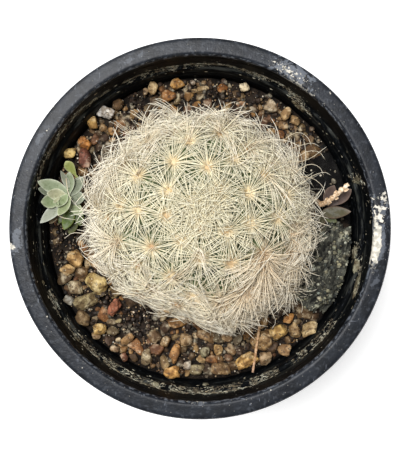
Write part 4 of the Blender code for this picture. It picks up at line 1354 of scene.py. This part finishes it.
def makeOffsets(skin, material):
    rng = np.random.default_rng(offsetForm["seed"])
    count = offsetForm["areoles"]
    directions = goldenSpiral(1 - 2 * (np.arange(count) + 0.5) / count)
    skinPoints, skinFaces = unitBall(5)
    tip, deep = linearRows(offsetForm["skinColours"])
    pointRows, faceRows, tintRows, allRoots, allNormals = [], [], [], [], []
    for index, angle in enumerate(offsetForm["directions"]):
        angle = math.radians(angle)
        centre = np.array((*cactusForm["centre"][:2], offsetForm["height"]))
        centre += offsetForm["distance"] * np.array((math.cos(angle), math.sin(angle), 0))
        away = np.linalg.norm(skinPoints[:, None] - directions[None], axis=2).min(1)
        valley = 1 - np.exp(-(away / 0.3) ** 2)
        reach = offsetForm["tips"] - 0.4 - (offsetForm["tips"] - offsetForm["body"]) * valley
        pointRows.append(skinPoints * reach[:, None] + centre)
        faceRows.append(skinFaces + index * len(skinPoints))
        # darker down in the valleys: painted shade
        tintRows.append(tip + (deep - tip) * valley[:, None])
        roots = centre + directions * offsetForm["tips"]
        outside = np.linalg.norm((roots - cactusForm["centre"]) / ballSize(), axis=1) > 0.98
        keep = outside & (roots[:, 2] > cactusForm["lowestAreole"] - 1)
        allRoots.append(roots[keep])
        allNormals.append(directions[keep])
    points = np.concatenate(pointRows)
    faces = np.concatenate(faceRows).tolist()
    dress(meshPiece("offsetBodies", points, faces, skin, np.concatenate(tintRows)), "cactus")

    roots, normals = np.concatenate(allRoots), np.concatenate(allNormals)
    star = (
        np.full(len(roots), offsetForm[part]) for part in ("spines", "length", "lift", "bend", "looseness")
    )
    lines, _ = starSpines(rng, roots, normals, *star)
    hairPiece("offsetSpines", keepClear(lines), offsetForm, rng, 0.08, material)


# fans of long hair: photo pixel of the root, middle heading and spread in degrees, hairs, length, sway

longHair = {
    "fans": (
        (244, 287, 272, 75, 100, 10.0, 0),
        (263, 252, 232, 26, 50, 13.5, -22),
        (262, 262, 282, 40, 70, 12.0, 14),
        (262, 254, 318, 50, 44, 10.5, 18),
        (286, 254, 318, 58, 90, 10.5, -24),
        (258, 281, 300, 50, 90, 9.5, 20),
        (226, 298, 262, 50, 44, 8.4, 0),
        (288, 236, 350, 50, 36, 9.0, -20),
    ),
    "lift": (8, 46),          # degrees, range of the first direction
    "droop": 70,
    "radius": (0.12, 0.07),
    "colours": ((206, 180, 146), (230, 214, 186), (240, 233, 216)),
    "steps": 7,
    "seed": 31,
}

edgeHair = {
    "fans": (
        (290, 160, 38, 60, 56, 13.0, -26),
        (295, 186, 12, 60, 56, 13.0, 22),
        (296, 210, 352, 50, 50, 11.0, 0),
        (293, 236, 340, 50, 40, 11.0, -18),
        (110, 186, 176, 70, 46, 13.5, 24),
        (108, 212, 186, 60, 46, 13.5, -22),
        (112, 240, 192, 50, 34, 12.0, 16),
        (150, 142, 128, 60, 40, 10.5, -24),
        (128, 160, 146, 50, 46, 13.0, 20),
        (118, 176, 160, 50, 46, 12.5, -20),
        (186, 130, 104, 60, 40, 10.5, 24),
        (226, 131, 78, 60, 40, 10.5, -22),
        (262, 146, 52, 60, 40, 10.5, 24),
    ),
    "lift": (8, 46),
    "droop": 62,
    "radius": (0.13, 0.075),
    "colours": ((238, 226, 200), (246, 240, 222), (249, 245, 232)),
    "steps": 7,
    "seed": 32,
}


def makeFans(name, hair, material):
    rng = np.random.default_rng(hair["seed"])
    rows = []
    for column, row, heading, spread, count, length, sway in hair["fans"]:
        direction = seenOnBall(column, row)[None]
        normals = np.repeat(unit(ballNormals(direction) + (0, 0, 0.3)), count, 0)
        turn = np.radians(heading + spread * rng.uniform(-1, 1, count))
        flat = np.stack((np.cos(turn), np.sin(turn), np.zeros(count)), 1)
        headings = unit(flat - normals * (flat * normals).sum(1)[:, None])
        roots = onBall(direction, 0.4) + rng.normal(0, 0.7, (count, 3))
        roots += headings * rng.uniform(0, 1.6, (count, 1))
        rows.append(grow(
            roots, normals, headings, np.radians(rng.uniform(*hair["lift"], count)),
            length * rng.uniform(0.55, 1.15, count), np.radians(hair["droop"] + rng.normal(0, 18, count)),
            np.radians(sway + rng.normal(0, 18, count)), hair["steps"],
        ))
    hairPiece(name, keepClear(np.concatenate(rows)), hair, rng, 0.08, material)


strayHair = {
    "locks": 230,
    "hairs": 9,               # in each lock
    "length": (9.0, 15.0),
    "lift": (5, 55),
    "radius": (0.115, 0.07),
    "colours": ((204, 184, 154), (236, 225, 200), (250, 245, 230)),
    "steps": 7,
    # single long spines and loops: photo pixel and height in mm along each
    "strands": (
        ((97, 256, 80), (86, 254, 79), (79.5, 246, 78.5), (82, 238, 79.5), (95, 236, 83)),
        ((95, 236, 84), (82, 233, 82.5), (72, 233, 81), (63, 240, 79.5)),
        ((86.5, 167, 84), (84.5, 176, 88), (85, 188, 88.5), (89, 201, 85)),
        ((66.5, 178, 90), (68, 190, 90.2), (71, 198, 90), (77, 206, 86)),
        ((58, 215, 84.5), (64, 217.6, 86), (70, 218.6, 86), (79, 219.6, 84)),
        ((97, 183, 85), (86, 191.5, 89), (74, 205, 90.2)),
        ((98, 190, 85), (88, 202, 88), (77.5, 214.5, 88)),
        ((79, 168.5, 84.5), (84, 171.5, 85), (90, 174, 84)),
        ((296, 158, 89), (308, 151, 87.5), (320, 152, 85), (327, 162, 82.5)),
        ((296, 172, 89), (309, 164, 87.5), (320, 167, 84.5), (325, 178, 82)),
        ((286, 138, 89), (298, 132, 87), (308, 137, 84), (313, 149, 82)),
        ((300, 184, 89), (314, 175, 87), (325, 172, 85), (333, 176, 83)),
        ((298, 162, 89), (311, 158, 87), (322, 150, 86), (329, 145, 85)),
        ((300, 176, 89), (313, 178, 86), (323, 186, 83), (326, 196, 81.5)),
        ((292, 148, 89), (305, 144, 87), (314, 143, 85), (322, 148, 83)),
        ((288, 292, 84), (299, 297, 81), (303, 306, 79), (301, 315, 77.5)),
        ((262, 300, 86), (272, 311, 83), (276, 322, 80), (270, 331, 78)),
        ((232, 262, 99), (246, 268, 98), (256, 277, 96), (261, 289, 92)),
        ((296, 236, 90), (308, 240, 87), (317, 249, 83), (319, 260, 80)),
    ),
    "seed": 17,
}


def makeStrayHair(roots, normals, down, material):
    # soft locks of long curved hair, most of them at the outline
    rng = np.random.default_rng(strayHair["seed"])
    weight = np.clip((down - 0.5) / 0.6, 0.02, 1) ** 2
    owner = rng.choice(len(roots), strayHair["locks"], p=weight / weight.sum())

    def shared(values, spread):
        # a value of the lock, and a little more or less for each hair
        each = np.repeat(values, strayHair["hairs"])
        return each + rng.normal(0, spread, len(each))

    locks = len(owner)
    turn = shared(rng.uniform(0, math.tau, locks), 0.16)
    lifts = shared(np.radians(rng.uniform(*strayHair["lift"], locks)), 0.12)
    lengths = shared(rng.uniform(*strayHair["length"], locks), 1.2)
    bends = shared(np.radians(rng.normal(62, 24, locks)), 0.2)
    sways = shared(np.radians(rng.normal(0, 46, locks)), 0.16)
    owner = np.repeat(owner, strayHair["hairs"])
    headings = roundNormals(normals[owner], turn)
    starts = roots[owner] + rng.normal(0, 0.5, (len(owner), 3))
    lines = grow(starts, normals[owner], headings, lifts, lengths, bends, sways, strayHair["steps"])

    eye = studio["cameraHeight"] / mm
    strands = []
    for pixels in strayHair["strands"]:
        route = [sightLine(column, row) * (eye - z) + (0, 0, eye) for column, row, z in pixels]
        smooth = np.array(smoothRoute(route, 8))
        spots = range(len(smooth))
        along = np.linspace(0, len(smooth) - 1, strayHair["steps"] + 1)
        strands.append(np.stack([np.interp(along, spots, axis) for axis in smooth.T], 1))
    hairPiece("strayHair", np.concatenate((keepClear(lines), strands)), strayHair, rng, 0.06, material)


# the two small succulents

leafColours = {
    "grey": ((128, 138, 110), (184, 188, 166)),
    "dull": ((106, 112, 92), (156, 160, 142)),
    "pale": ((132, 136, 118), (178, 180, 168)),
    "green": ((122, 134, 98), (182, 186, 160)),
    "olive": ((124, 134, 96), (184, 188, 158)),
    "young": ((150, 150, 120), (196, 198, 172)),
    # fresh green, made lighter as painted light
    "bright": ((142, 150, 84), (186, 188, 138)),
    # the two dark greens below are green leaf colour darkened as painted shade
    "glossy": ((58, 76, 12), (92, 104, 40)),
    "dark": ((42, 52, 8), (68, 78, 26)),
    "moss": ((56, 62, 24), (92, 94, 50)),
    "tan": ((128, 112, 80), (152, 136, 106)),
    # a brownish leaf colour, darkened further as painted shade
    "brown": ((58, 54, 26), (98, 80, 68)),
    "purple": ((70, 55, 48), (112, 92, 80)),
}

leftPlant = {
    "stem": ((-37.6, 9.7, 66.4), (-38.6, 8.8, 83.0)),
    "stemWidth": 2.4,
    # root, tip, width, thickness, where it is widest, cup depth, colour
    "leaves": (
        ((-37.4, 10.4, 81.5), (-45.2, 13.1, 86.0), 4.0, 1.2, 0.50, 0.5, "grey"),
        ((-39.5, 10.1, 80.5), (-45.4, 11.2, 84.0), 3.4, 1.1, 0.52, 0.3, "dull"),
        ((-39.2, 7.9, 81.5), (-44.5, 7.4, 84.6), 3.9, 1.2, 0.56, 0.8, "green"),
        ((-37.4, 9.2, 83.0), (-42.5, 9.8, 86.6), 3.4, 1.1, 0.52, 0.7, "young"),
        ((-37.2, 9.7, 83.0), (-39.9, 6.0, 86.6), 2.6, 1.0, 0.50, 0.5, "green"),
        ((-38.3, 8.2, 81.0), (-45.0, 1.5, 83.2), 3.4, 1.3, 0.46, 0.4, "pale"),
        ((-36.6, 9.1, 82.5), (-39.5, 3.6, 86.0), 2.9, 1.3, 0.52, 0.3, "olive"),
        ((-37.2, 11.4, 81.5), (-38.7, 16.1, 86.2), 1.9, 1.0, 0.42, 0.3, "pale"),
        ((-37.4, 9.4, 80.6), (-36.5, 15.9, 84.6), 3.0, 1.1, 0.56, 0.5, "grey"),
        ((-38.0, 8.8, 79.8), (-33.2, 14.7, 81.4), 3.6, 1.1, 0.54, 0.4, "dull"),
        ((-38.2, 9.0, 79.4), (-32.7, 8.6, 80.8), 4.2, 1.2, 0.52, 0.3, "dull"),
        ((-38.0, 8.4, 79.0), (-33.4, 3.6, 80.0), 3.2, 1.2, 0.52, 0.3, "olive"),
        # the upper green leaf: fresh green, lightened as painted light
        ((-35.3, 14.4, 76.6), (-38.3, 19.2, 80.2), 2.9, 2.0, 0.72, 0.1, "bright"),
        # three lower leaves in the shade of the rosette: their dark greens are painted shade
        ((-36.3, 6.4, 79.0), (-38.8, -0.4, 80.0), 3.5, 1.6, 0.52, 0.2, "glossy"),
        ((-37.0, 7.8, 78.4), (-40.4, 1.4, 79.2), 2.6, 1.3, 0.55, 0.2, "dark"),
        ((-35.4, 6.6, 78.0), (-34.4, 0.8, 78.6), 3.0, 1.5, 0.55, 0.2, "glossy"),
        ((-35.4, 4.4, 76.4), (-37.8, -1.6, 76.8), 3.0, 1.4, 0.60, 0.2, "moss"),
        ((-40.6, 4.6, 78.2), (-43.2, 1.4, 78.8), 1.9, 1.0, 0.50, 0.2, "tan"),
        # the young pair in the middle
        ((-39.3, 8.9, 84.6), (-40.6, 7.0, 87.0), 1.2, 0.7, 0.50, 0.2, "young"),
        ((-40.9, 8.7, 84.6), (-39.1, 6.6, 86.8), 0.9, 0.7, 0.50, 0.2, "green"),
    ),
}

rightPlant = {
    "stem": ((35.6, 5.2, 66.4), (35.7, 5.4, 79.2)),
    "stemWidth": 2.2,
    "leaves": (
        # the brown leaves are brownish, and darkened further as painted shade
        ((34.6, 4.4, 78.6), (42.9, 4.8, 81.0), 3.6, 1.4, 0.44, 0.1, "brown"),
        ((36.8, 6.3, 77.2), (43.2, 11.2, 80.0), 3.8, 1.2, 0.58, 0.4, "purple"),
        ((36.0, 6.8, 76.6), (38.6, 12.4, 78.4), 3.4, 1.2, 0.55, 0.3, "purple"),
        ((36.0, 4.0, 77.6), (39.2, 1.8, 78.4), 2.4, 1.2, 0.50, 0.2, "moss"),
        ((35.4, 4.0, 77.4), (34.4, 0.6, 78.4), 2.8, 1.2, 0.50, 0.2, "brown"),
    ),
}


def leafMaterial(name):
    material, tree, shader, where = newMaterial(name, Specular_IOR_Level=0.4)
    tint = vertexTint(tree)
    bloom = mottled(tree, where, 800, 6, 0.35, 0.7)
    powder = multiplied(tree, tint, (1.16, 1.16, 1.2, 1))
    colour = blendColours(tree, bloom, tint, powder)
    spots = mottled(tree, where, 1300, 5, 0.5, 0.7)
    shade = multiplied(tree, colour, (0.74, 0.76, 0.68, 1))
    colour = blendColours(tree, spots, colour, shade)
    relief = grained(tree, where, 500, 2600, 0.5)
    finishSurface(tree, shader, colour, rise(tree, bloom, 0, 1, 0.5, 0.7), relief, 0.3, 0.0002)
    return material


def leafMesh(root, tip, width, thickness, widest, cup, colours):
    # a pointed fleshy leaf between two points: (points, faces, tints)
    along, around = 18, 20
    root, tip = Vector(root), Vector(tip)
    axis = tip - root
    flat = Vector((axis.x, axis.y, 0)).normalized()
    side = Vector((-flat.y, flat.x, 0))
    centre, edge = linearRows(colours)
    points, tints = [], []
    power = math.log(0.5) / math.log(widest)
    for step in range(along + 1):
        share = step / along
        fullness = max(0.0, math.sin(math.pi * share ** power)) ** 0.75
        fullness = max(fullness, 0.34 * (1 - share) ** 2)
        lift = axis.z * (0.3 * share + 0.7 * share * share) - axis.z * share
        middle = root + axis * share + Vector((0, 0, lift))
        for part in range(around):
            angle = math.tau * part / around
            across = math.cos(angle)
            keel = math.sin(angle)
            thick = thickness * fullness ** 0.7 * (0.24 if keel > 0 else 0.66)
            up = thick * keel + cup * fullness * (abs(across) ** 2.2 - 0.5)
            points.append(middle + side * (width / 2 * fullness * across) + Vector((0, 0, up)))
            rim = max(abs(across) ** 5, share ** 10)
            tints.append(centre + (edge - centre) * min(1, rim) + (centre * 0.12 if keel < 0 else 0))
    return [tuple(point) for point in points], tubeFaces(along + 1, around), tints


def makePlant(name, plant, slotName, cadName):
    parts = [leafMesh(*leaf[:-1], leafColours[leaf[-1]]) for leaf in plant["leaves"]]
    width = plant["stemWidth"]
    parts.append(leafMesh(*plant["stem"], width, width, 0.4, 0, leafColours["moss"]))
    points, faces, tints = joinParts(parts)
    dress(meshPiece(name, points, faces, leafMaterial(name + "Skin"), tints), slotName, cadName)
    print(name + ":", len(plant["leaves"]), "leaves")


# dry stalk, straw and cinder stone

dryParts = {
    "stalkRoute": (
        (33.4, 9.2, 66.3), (33.5, 8.4, 74), (34.4, 7.0, 79.6), (36.3, 7.8, 82.4), (38.7, 9.9, 84.4),
        (41.3, 12.3, 86.1),
    ),
    "stalkRadius": 0.8,
    "stalkColours": ((208, 180, 146), (236, 222, 200)),
    "bracts": 15,
    "strawRoute": (
        (17.4, -28.2, 75.2), (17.2, -29.4, 74.9), (16.6, -33.5, 74.7), (16.0, -38, 74.4), (15.4, -42, 74.1),
    ),
    "strawRadius": 0.42,
    "strawColours": ((204, 168, 128), (196, 164, 140)),
    "seed": 5,
}


def smoothRoute(route, steps):
    # a smooth line through the points of a route
    route = [Vector(point) for point in route]
    ends = [route[0] * 2 - route[1]] + route + [route[-1] * 2 - route[-2]]
    line = []
    for before, start, end, after in zip(ends, ends[1:], ends[2:], ends[3:]):
        for step in range(steps):
            t = step / steps
            line.append(0.5 * (
                2 * start + (end - before) * t + (2 * before - 5 * start + 4 * end - after) * t ** 2
                + (3 * start - before - 3 * end + after) * t ** 3
            ))
    line.append(route[-1])
    return line


def wayOf(line, index):
    # the direction of a line at one of its points, and one across it
    ahead = (line[min(index + 1, len(line) - 1)] - line[max(index - 1, 0)]).normalized()
    return ahead, ahead.cross(Vector((0.1, 0.2, 1))).normalized()


def stick(line, radius, taper, colours, rng):
    # a round dry stick with knots: (points, faces, tints)
    sides = 12
    points, tints = [], []
    foot, tip = linearRows(colours)
    for index, middle in enumerate(line):
        ahead, side = wayOf(line, index)
        up = ahead.cross(side)
        share = index / (len(line) - 1)
        reach = radius * (1 - taper * share ** 2) * (1 + 0.14 * math.sin(index * 1.9))
        shade = (foot + (tip - foot) * share ** 3) * (1 + rng.normal() * 0.1)
        for part in range(sides):
            angle = math.tau * part / sides
            grown = reach * rng.uniform(0.86, 1.1)
            points.append(tuple(middle + side * math.cos(angle) * grown + up * math.sin(angle) * grown))
            tints.append(shade)
    return points, tubeFaces(len(line), sides), tints


def dryMaterial(name):
    material, tree, shader, where = newMaterial(name, Specular_IOR_Level=0.3)
    tint = vertexTint(tree)
    fibres = mottled(tree, where, 1400, 5, 0.38, 0.64)
    shade = multiplied(tree, tint, (0.62, 0.52, 0.42, 1))
    colour = blendColours(tree, fibres, shade, tint)
    relief = grained(tree, where, 900, 3000, 0.6)
    finishSurface(tree, shader, colour, rise(tree, fibres, 0, 1, 0.85, 0.6), relief, 0.5, 0.0003)
    return material


def makeDryParts():
    rng = np.random.default_rng(dryParts["seed"])
    line = smoothRoute(dryParts["stalkRoute"], 10)
    parts = [stick(line, dryParts["stalkRadius"], 0.35, dryParts["stalkColours"], rng)]
    for index in range(dryParts["bracts"]):
        # dry scales that hug the stalk and point forwards
        share = index / (dryParts["bracts"] - 1)
        spot = int((0.42 + 0.5 * share) * (len(line) - 1))
        ahead, side = wayOf(line, spot)
        outward = Matrix.Rotation(index * 2.4, 3, ahead) @ side
        root = line[spot] + outward * 0.35
        tip = root + ahead * rng.uniform(0.9, 1.6) + outward * rng.uniform(0.45, 0.9)
        parts.append(leafMesh(root, tip, rng.uniform(0.8, 1.2), 0.5, 0.4, 0, dryParts["stalkColours"]))
    points, faces, tints = joinParts(parts)
    stalk = meshPiece("dryStalkFine", points, faces, dryMaterial("dry_stalk_skin"), tints)
    dress(stalk, "dry_stalk", "dry_stalk")

    line = smoothRoute(dryParts["strawRoute"], 10)
    points, faces, tints = stick(line, dryParts["strawRadius"], 0.15, dryParts["strawColours"], rng)
    dress(meshPiece("strawFine", points, faces, dryMaterial("straw_skin"), tints), "straw", "straw")
    print("dry stalk and straw:", dryParts["bracts"], "bracts")


cinderForm = {
    "angles": (-36, 2),       # degrees round the pot
    "radius": 38.7,
    "halfWidth": 5.4,
    "bottom": 71.5,
    "height": 7.4,
    "crumbs": 1700,
    "crumbSizes": (0.14, 0.64),
    # dark in the pits and light on the lumps between them: the dark pits are painted shade
    "dark": (20, 22, 22),
    "light": (104, 104, 92),
    "crumbColours": ((140, 139, 120), (104, 103, 92), (182, 179, 158), (66, 68, 64), (152, 148, 122)),
    "seed": 9,
}


def cinderMaterial():
    material, tree, shader, where = newMaterial("cinder_stone", Specular_IOR_Level=0.3)
    tint = vertexTint(tree)
    patches = mottled(tree, where, 520, 8, 0.38, 0.64)
    shade = multiplied(tree, tint, (0.3, 0.3, 0.3, 1))
    colour = blendColours(tree, patches, shade, tint)
    dust = times(tree, mottled(tree, where, 1300, 4, 0.58, 0.7), 0.4)
    colour = blendColours(tree, dust, colour, paint(176, 170, 146))
    relief = grained(tree, where, 1100, 3600, 0.6)
    finishSurface(tree, shader, colour, rise(tree, patches, 0, 1, 0.95, 0.8), relief, 0.9, 0.0006)
    return material


def makeCinder():
    rng = np.random.default_rng(cinderForm["seed"])
    directions, faces = unitBall(6)
    squareness = np.abs(directions).max(1) ** -0.4
    lumps = 1 + 0.32 * roughness3d(directions, 0.5, 1) + 0.2 * roughness3d(directions, 0.24, 2)
    pits = roughness3d(directions, 0.095, 3)
    lumps += 0.11 * pits + 0.06 * roughness3d(directions, 0.04, 4)
    shape = directions * (squareness * lumps)[:, None]
    radius = cinderForm["radius"] + cinderForm["halfWidth"] * np.minimum(1, shape[:, 0])
    low, high = np.radians(cinderForm["angles"])
    angle = (low + high) / 2 + (high - low) / 2 * np.clip(shape[:, 1], -1.05, 1.05)
    height = cinderForm["bottom"] + cinderForm["height"] * (0.4 + 0.5 * shape[:, 2])
    points = np.stack((radius * np.cos(angle), radius * np.sin(angle), height), 1)
    # darker where the surface sinks into its pits: painted shade
    dark, light = linearRows((cinderForm["dark"], cinderForm["light"]))
    tints = dark + (light - dark) * np.clip(0.5 + pits, 0, 1)[:, None]
    material = cinderMaterial()
    dress(meshPiece("cinderStone", points, faces.tolist(), material, tints), "cinder", "lava_stone")

    # crumbs of pumice and grit caught on the stone
    upper = np.flatnonzero(directions[:, 2] > 0.05)
    smallest, largest = cinderForm["crumbSizes"]
    stones = []
    clusters = roughness3d(points, 3.2, 6)
    for index in rng.choice(upper, cinderForm["crumbs"], replace=False):
        if clusters[index] < rng.uniform(-0.35, 0.25):
            continue
        size = smallest + (largest - smallest) * rng.random() ** 2
        ball, ballFaces = balls[2 if size > 0.3 else 1]
        shape = stonePoints(ball, rng, 8, 9) * size + points[index] + (0, 0, size * 0.3)
        colour = cinderForm["crumbColours"][rng.integers(len(cinderForm["crumbColours"]))]
        stones.append((shape, ballFaces, nearColour(rng, colour, 0.15)))
    dress(joinStones("cinderCrumbs", stones, material), "cinder")
    print("cinder stone:", len(stones), "crumbs")


# studio

studio = {
    "cameraHeight": 0.320,
    "lens": 66.3,
    "sensor": 36,
    "photoRows": 457,
    "photoMiddle": (200.4, 228.2),  # the pixel right under the camera
    "floorColour": paint(252, 252, 252),
    "floorGlow": 0.36,
    "skyStrength": 0.36,
    # name, place, size, power
    "lights": (
        ("keyLight", (-0.10, 0.10, 0.70), 0.2, 4.6),
        ("sideLight", (-0.36, 0.30, 0.56), 0.4, 2.2),
    ),
    "target": (0, 0, 0.06),
}


def softLight(name, where, size, power):
    light = bpy.data.lights.new(name, "AREA")
    light.shape = "DISK"
    light.size = size
    light.energy = power
    lamp = bpy.data.objects.new(name, light)
    bpy.context.collection.objects.link(lamp)
    lamp.location = where
    sight = Vector(studio["target"]) - lamp.location
    lamp.rotation_euler = sight.to_track_quat("-Z", "Y").to_euler()


def makeStudio():
    camera = bpy.data.objects.new("camera", bpy.data.cameras.new("camera"))
    bpy.context.collection.objects.link(camera)
    camera.location = (0, 0, studio["cameraHeight"])
    camera.data.lens = studio["lens"]
    camera.data.sensor_fit = "VERTICAL"
    camera.data.sensor_height = studio["sensor"]
    camera.data.clip_start = 0.01
    bpy.context.scene.camera = camera

    world = bpy.context.scene.world or bpy.data.worlds.new("studio")
    bpy.context.scene.world = world
    world.use_nodes = True
    sky = world.node_tree.nodes["Background"]
    sky.inputs["Color"].default_value = (1, 1, 1, 1)
    sky.inputs["Strength"].default_value = studio["skyStrength"]
    for light in studio["lights"]:
        softLight(*light)

    bpy.ops.mesh.primitive_plane_add(size=4)
    floor = bpy.context.object
    floor.name = "floor"
    floor.data.materials.append(newMaterial(
        "floor_card", Roughness=0.9, Specular_IOR_Level=0.1, Base_Color=studio["floorColour"],
        Emission_Color=studio["floorColour"], Emission_Strength=studio["floorGlow"],
    )[0])
    bpy.context.scene.view_settings.view_transform = "Standard"
    print("studio:", len(studio["lights"]), "lights")


makeStudio()
makePot()
makeLime()
makeSoilBed()
makePebbles()
makeGrit()
skin = bodyMaterial()
spineSkin = hairMaterial("spine_cream", 0.5)
makeBody(skin)
areoles = makeSpines(spineSkin)
makeWool(*areoles, hairMaterial("areole_felt", 0.8))
makeOffsets(skin, spineSkin)
makeFans("longHair", longHair, spineSkin)
makeFans("edgeHair", edgeHair, spineSkin)
makeStrayHair(*areoles, spineSkin)
makePlant("leftRosette", leftPlant, "grey_green_leaf", "left_rosette")
makePlant("rightRosette", rightPlant, "brown_leaf", "right_rosette")
makeDryParts()
makeCinder()

cadNodes["potting_mix"].data.materials.clear()
cadNodes["potting_mix"].data.materials.append(
    soilMaterial("potting_mix_soil", paint(52, 40, 30), paint(100, 80, 60)))
